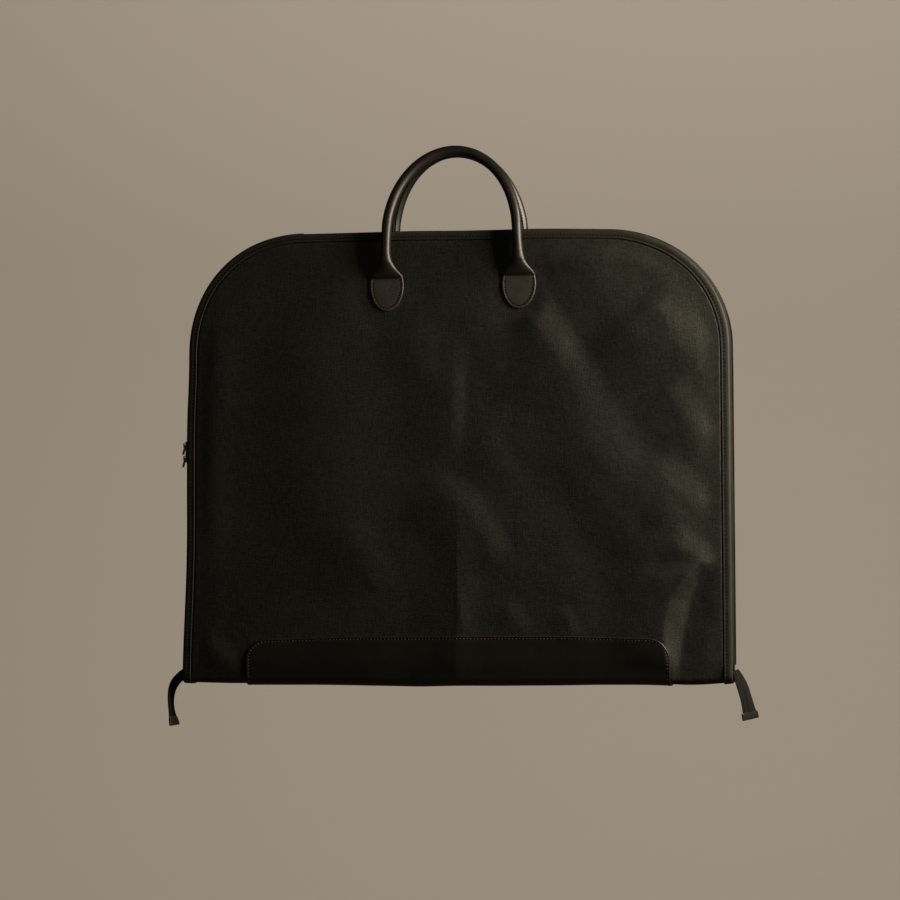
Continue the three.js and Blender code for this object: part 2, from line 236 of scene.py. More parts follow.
def threads(centres, along, normal, length, radius):
    """Short sewn stitches: slim rounded bars lying on a surface."""
    centres, along, normal = np.broadcast_arrays(
        *(np.asarray(q, float) for q in (centres, along, normal)))
    along = unit(along)
    normal = unit(normal - along * np.sum(normal * along, -1, keepdims=True))
    across = np.cross(along, normal)
    centres, along, normal, across = (q[:, None, None] for q in (centres, along, normal, across))
    # five rings: place along the stitch, thickness and height
    place_, thick, lift = (np.array(q)[None, :, None, None] for q in (
        [-1, -0.72, 0, 0.72, 1.0], [0.3, 0.85, 1.0, 0.85, 0.3], [-0.55, -0.1, 0.12, -0.1, -0.55]))
    turn = angles(6)[None, None, :, None]
    return tubes(centres + along * (place_ * length / 2) + normal * (lift * radius)
                 + radius * thick * (np.cos(turn) * normal * 0.8 + np.sin(turn) * across))


def fit(piece, body, node=None):
    """Let a piece ride a body, in place of a CAD node if one is given."""
    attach(piece, body)
    if node:
        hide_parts(node)


def fit_fold(piece):
    """Bake a piece's placement into its mesh. It is not attached to any body."""
    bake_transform(piece)


def fit_sheet(piece, side, kind, base_kinds):
    """A sheet of one half. The front one also takes the place of CAD pieces of the base."""
    fit_fold(piece)
    base_nodes = ["base_" + base_kind for base_kind in base_kinds] if side == FRONT else []
    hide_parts(f"{HALF[side]}_{kind}", *base_nodes)


# ------------------------------------------------------------------ materials
def new_material(name):
    """A material without nodes, and a function that adds a node to it."""
    made = bpy.data.materials.new(name)
    made.use_nodes = True
    tree = made.node_tree
    tree.nodes.clear()

    def add(kind, inputs=(), **settings):
        node = tree.nodes.new("ShaderNode" + kind)
        for key, value in settings.items():
            setattr(node, key, value)
        for key, value in dict(inputs).items():
            if isinstance(value, bpy.types.NodeSocket):
                tree.links.new(value, node.inputs[key])
            else:
                node.inputs[key].default_value = value
        return node

    return made, add


def material(name, base, rough, vary, vary_scale, rough_vary=0.12, metal=0.0, spec=0.5, sheen=0.0,
             coat=0.0, hue=0.0, weave=None, slub=None, rib=None, twist=None, grain=None, fine=None,
             wear=None, dust=0.0):
    """One procedural finish, with its relief sizes in metres.

    vary, vary_scale, rough_vary: strength and scale of colour patches, and how far roughness
    follows them. hue: how far the dark and light shades part in green.
    weave (pitch, depth), slub (thread size, depth, tone), rib (axis, pitch, depth),
    twist (pitch, depth), grain (size, depth), fine (size, depth).
    wear (amount, colour) lightens edges. dust (amount) lies on faces that look up.
    """
    made, add = new_material(name)
    spot = add("TexCoord").outputs["Object"]
    xyz = add("SeparateXYZ", {0: spot}).outputs if weave or rib or twist else None

    def calc(operation, *values, clamp=False):
        return add("Math", enumerate(values), operation=operation, use_clamp=clamp).outputs[0]

    def noise(scale, detail=3.0, roughness=0.55, vector=spot):
        return add("TexNoise", {"Scale": scale, "Detail": detail, "Roughness": roughness,
                                "Vector": vector}).outputs["Fac"]

    def stretched(*scale):
        return add("Mapping", {"Scale": scale, "Vector": spot}).outputs[0]

    def sine(coordinate, pitch):
        return calc("SINE", calc("MULTIPLY", coordinate, 2 * PI / pitch))

    def raised(wave):
        """A wave from -1..1 moved to 0..1."""
        return calc("MULTIPLY_ADD", wave, 0.5, 0.5)

    def mix(factor, first, second):
        return add("Mix", {0: factor, 6: first, 7: second}, data_type="RGBA").outputs[2]

    heights = []            # (height 0..1, depth)
    broad = noise(vary_scale, detail=4.0)
    tone = calc("SUBTRACT", broad, 0.5)
    if weave:
        pitch, depth = weave
        checks = calc("MULTIPLY", sine(xyz["X"], pitch * 2), sine(xyz["Z"], pitch * 2))
        heights.append((raised(checks), depth))
    if slub:
        size, depth, strength = slub
        short, long = 1 / size, 1 / (size * 6)
        level = noise(1.0, roughness=0.6, vector=stretched(long, short, short))
        upright = noise(1.0, roughness=0.6, vector=stretched(short, short, long))
        height = calc("MULTIPLY", calc("ADD", level, upright), 0.5)
        heights.append((height, depth))
        tone = calc("ADD", tone, calc("MULTIPLY", calc("SUBTRACT", height, 0.5), strength))
    if rib:
        axis, pitch, depth = rib
        heights.append((raised(sine(xyz[axis], pitch)), depth))
    if twist:
        pitch, depth = twist
        slanted = calc("ADD", xyz["Z"], calc("MULTIPLY", xyz["X"], 0.9))
        heights.append((raised(sine(slanted, pitch)), depth))
    if grain:
        size, depth = grain
        cells = add("TexVoronoi", {"Scale": 1 / size, "Vector": spot}, feature="SMOOTH_F1")
        heights.append((cells.outputs["Distance"], depth))
        heights.append((noise(0.35 / size), depth * 1.2))
    if fine:
        heights.append((noise(1 / fine[0], detail=2.0), fine[1]))

    # colour: a dark and a light shade of the base mixed by broad and fine variation
    dark, light = (tuple(min(1, c * (1 + sign * vary) * (1 + sign * hue * tint))
                         for c, tint in zip(base, (1, -1, 1))) + (1,) for sign in (-1, 1))
    colour = mix(calc("ADD", calc("MULTIPLY", tone, 1.6), 0.5, clamp=True), dark, light)
    roughness = calc("MULTIPLY_ADD", broad, rough_vary * 2, rough - rough_vary)
    if wear:
        amount, wear_colour = wear
        edge = add("MapRange", {0: add("NewGeometry").outputs["Pointiness"],
                                "From Min": 0.53, "From Max": 0.62}).outputs[0]
        worn = calc("MULTIPLY", calc("MULTIPLY", edge, noise(260.0)), amount * 1.8, clamp=True)
        colour = mix(worn, colour, wear_colour + (1,))
    if dust:
        normal_xyz = add("SeparateXYZ", {0: add("NewGeometry").outputs["Normal"]}).outputs
        dusty = calc("MULTIPLY", calc("MAXIMUM", normal_xyz["Z"], 0.0),
                     calc("MULTIPLY", noise(120.0, detail=4.0), dust))
        colour = mix(dusty, colour, (0.25, 0.22, 0.18, 1))
    normal = {}
    for height, depth in heights:
        bump = add("Bump", {"Strength": 1.0, "Distance": depth, "Height": height, **normal})
        normal = {"Normal": bump.outputs[0]}
    surface = add("BsdfPrincipled", {
        "Base Color": colour, "Roughness": roughness, "Metallic": metal,
        "Specular IOR Level": spec, "Sheen Weight": sheen, "Sheen Roughness": 0.5,
        "Coat Weight": coat, "Coat Roughness": 0.18, **normal})
    add("OutputMaterial", {0: surface.outputs[0]})
    return made


CLOTH = material("shell_cloth", (0.0168, 0.0203, 0.0131), rough=0.50, spec=0.42, sheen=0.05,
                 vary=0.42, vary_scale=14, rough_vary=0.05, weave=(0.0008, 0.00012),
                 slub=(0.0013, 0.00048, 4.4), dust=0.02, hue=0.06)
BIND = material("binding_cloth", (0.0205, 0.0230, 0.0160), rough=0.55, spec=0.45, sheen=0.06,
                vary=0.36, vary_scale=40, rough_vary=0.06, weave=(0.0008, 0.00008),
                slub=(0.0012, 0.00016, 1.6), wear=(0.5, (0.07, 0.064, 0.052)))
THREAD = material("thread", (0.035, 0.032, 0.025), rough=0.5, vary=0.3, vary_scale=300,
                  twist=(0.0007, 0.00012))
DARK_THREAD = material("dark_thread", (0.0022, 0.0021, 0.0017), rough=0.85, spec=0.1,
                       vary=0.3, vary_scale=300, twist=(0.0007, 0.00012))
PALE_THREAD = material("pale_thread", (0.065, 0.06, 0.048), rough=0.5, vary=0.3,
                       vary_scale=300, twist=(0.0007, 0.00012))
HIDE = material("leather", (0.0168, 0.0172, 0.0120), rough=0.36, coat=0.08, vary=0.2,
                vary_scale=30, rough_vary=0.07, grain=(0.0009, 0.00007),
                wear=(0.35, (0.05, 0.044, 0.034)))
# The chapes take a lighter copy of the leather: painted sheen that stands in for the satin highlight
# of their leather.
CHAPE_HIDE_PAINTED_SHEEN = material("leather_chape", (0.039, 0.0362, 0.0285), rough=0.44, coat=0.05,
                      vary=0.25, vary_scale=60, rough_vary=0.06, grain=(0.0011, 0.00012),
                      wear=(0.1, (0.07, 0.062, 0.05)))
ROLLED = material("leather_rolled", (0.0115, 0.0110, 0.0082), rough=0.42, spec=0.6, coat=0.04,
                  vary=0.18, vary_scale=40, rough_vary=0.05, grain=(0.0008, 0.00003),
                  wear=(0.2, (0.045, 0.04, 0.03)))
TAPE = material("zip_tape", (0.0145, 0.0135, 0.0108), rough=0.62, spec=0.35, vary=0.25,
                vary_scale=50, rib=("Z", 0.0011, 0.00006), weave=(0.0006, 0.00008),
                slub=(0.0008, 0.00008, 1.6))
# The loose zip ends take a darker copy of the zip tape: painted shade that keeps the ends facing the
# key light dark.
TAIL_TAPE_PAINTED_SHADE = material("zip_tape_loose", (0.0052, 0.0051, 0.0038), rough=0.7, spec=0.22,
                     vary=0.3, vary_scale=60, rib=("Z", 0.0011, 0.00006),
                     weave=(0.0006, 0.00008), slub=(0.0008, 0.00010, 1.6))
COIL = material("zip_coil", (0.012, 0.0115, 0.0105), rough=0.35, vary=0.2, vary_scale=120,
                fine=(0.0006, 0.00003))
LINING = material("lining_cloth", (0.030, 0.0285, 0.0245), rough=0.5, spec=0.4, sheen=0.1,
                  vary=0.16, vary_scale=16, rough_vary=0.05, twist=(0.0011, 0.00008),
                  slub=(0.0011, 0.00006, 1.6))
WEB = material("webbing", (0.020, 0.0190, 0.0165), rough=0.66, spec=0.35, vary=0.25,
               vary_scale=60, rib=("X", 0.0013, 0.00022), twist=(0.0016, 0.00010))
BOARD = material("board", (0.016, 0.0155, 0.015), rough=0.7, spec=0.35, vary=0.35,
                 vary_scale=220, fine=(0.0012, 0.00012))
ROPE = material("rope", (0.42, 0.36, 0.26), rough=0.9, spec=0.2, vary=0.25, vary_scale=160,
                twist=(0.0012, 0.0002))
PLASTIC = material("buckle_plastic", (0.010, 0.010, 0.0102), rough=0.42, vary=0.15,
                   vary_scale=80, fine=(0.0007, 0.00005), wear=(0.3, (0.04, 0.04, 0.042)))
STEEL = material("steel", (0.46, 0.46, 0.45), rough=0.32, metal=1.0, vary=0.15, vary_scale=90,
                 rib=("X", 0.0005, 0.00001), fine=(0.001, 0.00002))
GUN = material("gunmetal", (0.16, 0.15, 0.135), rough=0.33, metal=1.0, vary=0.2,
               vary_scale=200, fine=(0.0007, 0.00002), wear=(0.7, (0.5, 0.47, 0.42)))


# ------------------------------------------------------------------ the bag's surfaces as sheets
# A sheet point has x across, rise (its height before the cloth bends under) and depth from the
# mid-plane.
def rounded(x, z, half_width, top, radius):
    """A rectangle's grid bent to a rounded upper outline. Lines parallel to the edge stay so."""
    x, z = np.broadcast_arrays(np.asarray(x, float), np.asarray(z, float))
    centre_x, centre_z = half_width - radius, top - radius
    dx, dz = np.abs(x) - centre_x, z - centre_z
    in_corner = (dx > 0) & (dz > 0)
    reach = np.maximum(dx, dz)
    angle = np.where(dx >= dz, PI / 4 * dz / np.maximum(dx, 1e-9),
                     PI / 2 - PI / 4 * dx / np.maximum(dz, 1e-9))
    bent_x = np.where(in_corner, centre_x + reach * np.cos(angle), np.abs(x))
    bent_z = np.where(in_corner, centre_z + reach * np.sin(angle), z)
    return np.sign(x) * bent_x, bent_z


def edge_distance(x, z):
    """How far a point lies inside the bag's outline, sides and top."""
    dx, dz = np.abs(x) - STRAIGHT_X, z - STRAIGHT_Z
    straight = np.minimum(HALF_WIDTH - np.abs(x), TOP_Z - z)
    return np.where((dx > 0) & (dz > 0),
                    CORNER_R - np.hypot(np.maximum(dx, 0), np.maximum(dz, 0)), straight)


# How far the soft outline lies inside its true shape: (length along it, inward offset), from the
# bottom left end up the left side, over the top and down to the bottom right end.
CORNER_RUN = CORNER_R * PI / 2
TOP_RUN = 2 * STRAIGHT_X
TOP_START = STRAIGHT_Z + CORNER_RUN
OUTLINE_RUN = 2 * STRAIGHT_Z + 2 * CORNER_RUN + TOP_RUN
SAG = [(10, -4.3), (40, -3.7), (95, -1.3), (140, 0.3), (200, 0.4), (230, 0.3), (290, 0.4),
       (325, 2.2), (STRAIGHT_Z, 3.2)]
# left corner: degrees above the level
SAG += [(STRAIGHT_Z + CORNER_RUN * degrees / 90, offset) for degrees, offset in (
    (20, 1.7), (35, -0.3), (45, -1.0), (60, -2.0), (75, -1.3), (90, -0.7))]
# top: x
SAG += [(TOP_START + STRAIGHT_X + x, offset) for x, offset in (
    (-130, -0.7), (-40, 0.0), (-10, 1.0), (30, 1.5), (80, 1.2), (110, 1.8), (140, 3.0), (170, 4.3))]
# right corner: degrees above the level
SAG += [(TOP_START + TOP_RUN + CORNER_RUN * (90 - degrees) / 90, offset) for degrees, offset in (
    (80, 4.9), (72, 5.2), (60, 4.6), (45, 3.2), (30, 2.0), (15, 0.8), (0, 0.0))]
SAG += [(OUTLINE_RUN, 0.0)]
SAG_AT, SAG_OFFSET = zip(*SAG)

# the bottom edge is not quite straight: x and lift
LIFT_X = [-300, -273, -250, -220, -153, -119, -97, -63, -41, -19, 3,
          47, 124, 157, 200, 222, 233, 250, 266, 277, 288, 300]
LIFT_Z = [2.0, 1.2, 0.7, 0.8, 0.8, 0.4, 0.0, -0.6, -1.1, -0.6, -0.1,
          -0.2, 0.4, 1.0, 1.0, 0.6, 0.0, -1.0, -0.6, 0.0, 0.9, 1.9]


def droop(x, rise, depth):
    """The outline of the empty bag: its upper right corner hangs lower than the left one and the
    lower left one spreads. The zip between the halves does not spread: the sliders run on it."""
    dx, dz = np.abs(x) - STRAIGHT_X, rise - STRAIGHT_Z
    in_corner = (dx > 0) & (dz > 0)
    angle = np.arctan2(np.maximum(dz, 1e-6), np.maximum(dx, 1e-6))
    run = np.where(in_corner, STRAIGHT_Z + CORNER_R * angle,
                   np.where(dx > 0, np.minimum(rise, STRAIGHT_Z),
                            TOP_START + STRAIGHT_X - np.abs(x)))
    run = np.where(x < 0, run, OUTLINE_RUN - run)
    offset = smooth(120, 12, edge_distance(x, rise)) * blurred(
        run, SAG_AT, SAG_OFFSET, taps=(-24, -16, -8, 0, 8, 16, 24))
    offset = np.where((dx <= 0) & (dz <= 0), 0.0, offset)
    spreads = (offset < 0) & (x < 0) & ~in_corner
    offset = np.where(spreads, offset * smooth(5.5, 13.0, np.abs(depth)), offset)
    reach = np.maximum(np.hypot(dx, dz), 1e-6)
    inward_x = np.where(in_corner, -np.sign(x) * dx / reach, np.where(dx > 0, -np.sign(x), 0.0))
    inward_z = np.where(in_corner, -dz / reach, np.where((dx <= 0) & (dz > 0), -1.0, 0.0))
    return x + offset * inward_x, rise + offset * inward_z


def wrap(x, rise, depth, side):
    """Sheet coordinates to XYZ. Below the bend's centre the sheet turns under the bag and runs to
    the middle of the fold."""
    x, rise, depth = np.broadcast_arrays(*(np.asarray(q, float) for q in (x, rise, depth)))
    x, rise = droop(x, rise, depth)
    turn = np.clip((BEND_Z - rise) / BEND_R, 0, PI / 2)
    flat = np.maximum(0, BEND_Z - rise - BEND_R * PI / 2)
    upright = rise >= BEND_Z
    y = np.where(upright, depth, BEND_Y + (depth - BEND_Y) * np.cos(turn) - flat)
    z = np.where(upright, rise, BEND_Z - (depth - BEND_Y) * np.sin(turn))
    z = z + smooth(70, 8, z) * blurred(x, LIFT_X, LIFT_Z, taps=(-8, -4, 0, 4, 8))
    return np.stack([x, side * y, z], -1)


def steps(low, high, gap):
    return np.linspace(low, high, max(2, int(round((high - low) / gap)) + 1))


def sheet_columns(half_width, edge, gap, extra=()):
    """Grid columns: close ones at the given distances from both edges, even ones between."""
    right = [half_width - distance for distance in edge]
    inner_x = half_width - edge[-1] - gap
    columns = sorted({*right, *(-x for x in right), *steps(-inner_x, inner_x, gap), *extra})
    kept = [columns[0]]
    for x in columns[1:]:
        if x - kept[-1] > 0.12:
            kept.append(x)
    return np.array(kept)


def sheet_rows(edge_rows, side_top, gap, under_count, under_top=13.0):
    """Grid rows: even ones under the bag, even ones up its face, and those of the top edge."""
    under = np.linspace(FOLD_RISE, under_top, under_count)
    return np.array(sorted({*under, *steps(14.0, side_top, gap), *edge_rows}))


# Creases. Crest line (x, z), height, width of the left and right flank, sharpness, and the share
# of its length over which the crease runs in and out.
CREASES = [
    ([(64, 443), (75, 419), (93, 388), (114, 353), (137, 318), (158, 281)],
     5.4, 84, 34, 0.25, 0.1, 0.5),
    ([(96, 329), (152, 255), (207, 177), (256, 87)], 4.9, 78, 60, 0.1, 0.3, 0.3),
    ([(205, 420), (218, 400), (235, 376), (256, 346), (273, 318)], 5.4, 110, 42, 0.2, 0.22, 0.6),
    ([(224, 331), (242, 299), (262, 266), (274, 240)], 3.2, 58, 31, 0.3, 0.3, 0.35),
    ([(204, 250), (229, 222), (257, 194), (276, 176)], 3.8, 50, 31, 0.3, 0.35, 0.3),
    ([(203, 162), (226, 181), (250, 198)], 1.1, 26, 18, 0.3, 0.4, 0.4),
    ([(224, 162), (252, 143), (281, 121)], 2.8, 34, 24, 0.35, 0.4, 0.2),
    ([(0, 388), (-1, 320), (-3, 277), (-8, 228)], 2.3, 60, 18, 0.25, 0.45, 0.4),
    ([(-41, 243), (-15, 210), (14, 189), (33, 159), (48, 114)], 3.3, 62, 28, 0.3, 0.35, 0.25),
    ([(4, 233), (4, 158), (4, 93), (3, 50), (3, 0)], 2.7, 62, 30, 0.8, 0.45, 0.0),
    ([(6, 110), (8, 80), (10, 50)], 0.8, 9, 13, 0.6, 0.4, 0.3),
    ([(-128, 202), (-115, 163), (-97, 124), (-84, 89)], 2.6, 62, 36, 0.2, 0.35, 0.3),
    ([(-115, 130), (-97, 106), (-75, 86)], -0.25, 9, 10, 0.3, 0.4, 0.4),
    ([(-139, 455), (-146, 356), (-146, 235), (-137, 93)], 2.8, 85, 85, 0.0, 0.3, 0.3),
    ([(-254, 436), (-270, 336), (-277, 226), (-279, 105)], 1.3, 26, 32, 0.0, 0.3, 0.3),
    ([(-60, 420), (-47, 376), (-36, 310)], 1.2, 44, 34, 0.1, 0.4, 0.4),
    ([(48, 97), (64, 75), (81, 47)], 1.3, 26, 15, 0.3, 0.4, 0.3),
    ([(109, 92), (122, 71), (135, 45)], 1.2, 24, 14, 0.3, 0.4, 0.3),
    ([(-284, 57), (-259, 35), (-232, -5)], 1.5, 26, 18, 0.35, 0.3, 0.0),
    ([(140, 480), (166, 425), (194, 371), (213, 327)], 2.6, 50, 110, 0.2, 0.1, 0.5),
    ([(21, 283), (38, 252), (56, 215)], 1.4, 36, 28, 0.15, 0.4, 0.4),
]
BACK_CREASES = [
    ([(-2, 400), (-1, 300), (-2, 180), (-2, 30), (-2, 2)], 1.5, 34, 34, 0.6, 0.3, 0.0),
    ([(-90, 446), (-130, 372), (-178, 300)], 2.2, 26, 26, 0.3, 0.3, 0.3),
    ([(90, 446), (140, 380), (196, 330)], 1.9, 26, 26, 0.3, 0.3, 0.3),
    ([(-262, 260), (-210, 200), (-150, 160)], 1.6, 24, 24, 0.3, 0.3, 0.3),
    ([(236, 210), (190, 150), (160, 90)], 1.8, 24, 20, 0.3, 0.3, 0.3),
    ([(-228, 96), (-236, 50), (-232, 6)], 2.4, 22, 18, 0.4, 0.3, 0.0),
    ([(60, 250), (20, 190), (-10, 140)], 1.2, 24, 20, 0.2, 0.3, 0.3),
]
# the slack corner beside the patch: a slope between these two lines of (x, z), with a hollow to
# its right
SLOPE_LEFT = [(234.6, 2.3), (227.4, 42.7), (227.7, 68.2), (235.3, 91.6), (253.7, 119.1),
              (267.7, 131.8)]
SLOPE_RIGHT = [(239.4, 2.3), (243.3, 25.7), (246.7, 46.9), (251.2, 70.2), (255.6, 91.5),
               (263.3, 112.7), (268.8, 131.8)]
SLOPE_CREST, SLOPE_HOLLOW = 5.2, 3.2


def ridge(x, z, line, height, left_width, right_width, sharp, run_in, run_out):
    """Height of one crease."""
    line = np.asarray(line, float)
    parts = np.diff(line, axis=0)
    length = np.linalg.norm(parts, axis=1)
    start = run_lengths(line)
    total = start[-1]
    nearest = np.full(x.shape, 1e9)
    offset, at = np.zeros(x.shape), np.zeros(x.shape)
    for k in range(len(parts)):
        way = parts[k] / length[k]
        dx, dz = x - line[k, 0], z - line[k, 1]
        t = np.clip(dx * way[0] + dz * way[1], 0, length[k])
        distance = np.hypot(dx - way[0] * t, dz - way[1] * t)
        rightward = np.array([-way[1], way[0]])
        if rightward[0] < 0:
            rightward = -rightward
        nearer = distance < nearest
        nearest = np.where(nearer, distance, nearest)
        offset = np.where(nearer, dx * rightward[0] + dz * rightward[1], offset)
        at = np.where(nearer, start[k] + t, at)
    on_right = smooth(-2, 2, offset)
    t = np.clip(nearest / (right_width * on_right + left_width * (1 - on_right)), 0, 1)
    soft = (1 - t * t) ** 2
    hard = (1 - t) ** 2 * (1 + 0.4 * t)
    taper = smooth(0, run_in * total, at)
    if run_out:
        taper = taper * smooth(0, run_out * total, total - at)
    return height * taper * (soft * (1 - sharp) + hard * sharp)


def slack_corner(x, z):
    left, right = (np.interp(z, [point[1] for point in line], [point[0] for point in line])
                   for line in (SLOPE_LEFT, SLOPE_RIGHT))
    width = right - left
    fall = SLOPE_CREST + SLOPE_HOLLOW
    scale = np.minimum(width / 15.0, 1.0) ** 0.6        # the slope is lower where it is narrow
    t = np.clip((x - left) / np.maximum(width, 5.0), 0, 1)
    slope = (SLOPE_CREST * (1 - t) - SLOPE_HOLLOW * t) * scale
    before = SLOPE_CREST * scale * smooth(-80, 0, x - left) ** 1.2
    last = np.where(width < 5.0, SLOPE_CREST - fall * width / 5.0, -SLOPE_HOLLOW) * scale
    after = last * (1 - smooth(0, 34, x - right))
    return smooth(150, 112, z) * np.where(x < left, before, np.where(x < right, slope, after))


def relief(x, z, side):
    """How far the empty cloth stands off its flat shape."""
    x, z = np.broadcast_arrays(np.asarray(x, float), np.asarray(z, float))
    edge = edge_distance(x, z)
    height = np.zeros(x.shape)
    for crease in CREASES if side == FRONT else BACK_CREASES:
        height = height + ridge(x, z, *crease)
    if side == FRONT:
        height = height + slack_corner(x, z)
    # uneven cloth, from broad swells to small dents; the front's right side is the slackest
    slack = smooth(-120, 220, x) if side == FRONT else 0.6
    seed = 3 if side == FRONT else 17
    height = height + 1.2 * lattice(x + 0.3 * z, z, 140, seed) * (0.45 + 0.55 * slack)
    height = height + 0.75 * lattice(x * 0.8 + 0.5 * z, z - 0.3 * x, 60, seed + 1) * (
        0.35 + 0.65 * slack)
    height = height + 0.28 * lattice(x, z, 24, seed + 2) * (0.35 + 0.65 * slack)
    height = height + 0.07 * lattice(x + 0.4 * z, z, 9, seed + 5) * (0.4 + 0.6 * slack)
    # the cloth lies flat round the chapes; the first crease starts beside the right one
    reach = np.hypot(np.abs(x) - CHAPE_X, (z - CHAPE_Z) * 0.92)
    first = ridge(x, z, *CREASES[0]) * (x > 0) if side == FRONT else 0.0
    bearing = np.degrees(np.arctan2(z - CHAPE_Z, x - CHAPE_X))
    beside = smooth(-118, -66, bearing) * smooth(100, 50, bearing)
    first_kept = beside * smooth(16, 38, reach) + (1 - beside) * (1 - smooth(105, 18, reach))
    above = smooth(40, 16, np.abs(np.abs(x) - CHAPE_X)) * smooth(425, 440, z)
    rest_kept = (1 - smooth(46, 20, reach)) * (1 - 0.8 * above)
    height = first * first_kept + (height - first) * rest_kept
    # flat under the binding, a step up inside it, then fading out towards the fold
    height = (height * smooth(8.5, 34, edge) + 1.85 * smooth(9.25, 10.7, edge)
              + 0.5 * smooth(11, 42, edge) - 0.25 - 0.9 * smooth(70, 20, reach))
    return np.clip(height * smooth(-4, 28, z) * (1 - 0.2 * smooth(40, 0, z)), -1.2, 9.0)


def inset_outline(inset):
    """Half width, top and corner radius of the outline moved inwards."""
    return HALF_WIDTH - inset, TOP_Z - inset, CORNER_R - inset


def shell(side):
    half_width, top, radius = inset_outline(1.3)
    edge = [0, 4, 7.5, 9.2, 10.5, 12.5, 15]
    gap = 2.5 if side == FRONT else 3.5
    columns = sheet_columns(half_width, edge, gap,
                            extra=np.arange(-9, 10, 1.0) if side == FRONT else ())
    rows = sheet_rows([top - distance for distance in edge], top - edge[-1] - gap, gap, 24)
    x, z = rounded(columns[None, :], rows[:, None], half_width, top, radius)
    height = relief(x, z, side)
    distance = edge_distance(x, z)
    pucker = 0.10 * np.cos(2 * PI * (x + z) / 8.0)
    pucker = pucker * smooth(9, 10, distance) * smooth(16, 10, distance)
    depth = CLOTH_Y - 0.02 + np.where(distance < 9.4, np.minimum(height, 0.0), height)
    depth = depth + pucker * (z > 15)
    solid = slab(wrap(x, z, depth, side), wrap(x, z, depth - 1.2, side))
    piece = mesh(HALF[side] + "_cloth", solid, CLOTH)
    fit_sheet(piece, side, "panel", ["panel"])


def lining(side):
    half_width, top, radius = inset_outline(3.2)
    columns = sheet_columns(half_width, [0, 4], 6.0)
    rows = sheet_rows([], top, 6.0, 16)
    x, z = rounded(columns[None, :], rows[:, None], half_width, top, radius)
    swell = np.clip(0.35 * lattice(x, z, 60, 31 + side) + 0.12 * lattice(x, z, 22, 34 + side),
                    -0.3, 0.4) * smooth(6, 24, edge_distance(x, z)) * smooth(6, 24, z)
    solid = slab(wrap(x, z, 11.9 + swell, side),
                 wrap(x, z, 11.4 + np.clip(swell, -0.15, 0.4), side))
    piece = mesh(HALF[side] + "_lining_cloth", solid, LINING)
    fit_sheet(piece, side, "lining", ["lining"])


for bag_side in (FRONT, BACK):
    shell(bag_side)
for bag_side in (FRONT, BACK):
    lining(bag_side)


# ------------------------------------------------------------------ runs along the outline
def outline(low, gap, half_width=HALF_WIDTH, top=TOP_Z, radius=CORNER_R, arc_count=None):
    """A run from the bottom left over the top to the bottom right: sheet points, inward
    directions and lengths along it."""
    centre_x, centre_z = half_width - radius, top - radius
    arc_count = arc_count or int(radius * PI / 2 / gap)
    rises = steps(low, centre_z, gap)
    # centre that the point stands one radius from, and the direction to the point
    stations = [(-centre_x, z, PI) for z in rises[:-1]]
    stations += [(-centre_x, centre_z, t) for t in np.linspace(PI, PI / 2, arc_count)[:-1]]
    stations += [(x, centre_z, PI / 2) for x in steps(-centre_x, centre_x, gap)[:-1]]
    stations += [(centre_x, centre_z, t) for t in np.linspace(PI / 2, 0, arc_count)[:-1]]
    stations += [(centre_x, z, 0.0) for z in rises[::-1]]
    stations = np.array(stations)
    outward = np.stack([np.cos(stations[:, 2]), np.sin(stations[:, 2])], 1)
    points = stations[:, :2] + radius * outward
    return points, -outward, run_lengths(points)


def place(run, inset, depth, side):
    """XYZ of points at an inset and depth along a run. Both may be numbers, profiles or grids."""
    points, inward = run[:2]
    inset, depth = np.atleast_2d(inset), np.atleast_2d(depth)
    return wrap(points[:, :1] + inset * inward[:, :1], points[:, 1:] + inset * inward[:, 1:],
                depth, side)


def resample(run, at):
    points, inward, lengths = run
    return sample(at, lengths, points), unit(sample(at, lengths, inward)), at


def run_direction(run, at, inset, depth, side):
    ahead = place(resample(run, np.minimum(at + 0.6, run[2][-1])), inset, depth, side)
    behind = place(resample(run, np.maximum(at - 0.6, 0)), inset, depth, side)
    return (ahead - behind)[:, 0]


# ---- binding: inset and depth round its section
BINDING_PROFILE = np.array([
    (0.95, 13.0), (0.25, 12.95), (-0.05, 13.3), (-0.15, 13.9), (-0.12, 14.6), (0.05, 15.25),
    (0.4, 15.8), (0.95, 16.2), (1.8, 16.5), (2.8, 16.7), (3.8, 16.8), (4.8, 16.84), (5.6, 16.82),
    (6.2, 16.80), (6.8, 16.82), (7.3, 16.88), (7.8, 16.97), (8.3, 17.02), (8.8, 16.97),
    (9.15, 16.78), (9.3, 16.35), (9.2, 15.8), (8.8, 15.32), (6.0, 15.26), (3.0, 15.26),
    (1.3, 15.26), (1.05, 15.0), (1.0, 14.0)])
BINDING_UNDERSIDE = 15.26
BINDING_STITCH = 4.0                      # pitch of its stitches
BINDING_ROW = 6.2                         # their inset


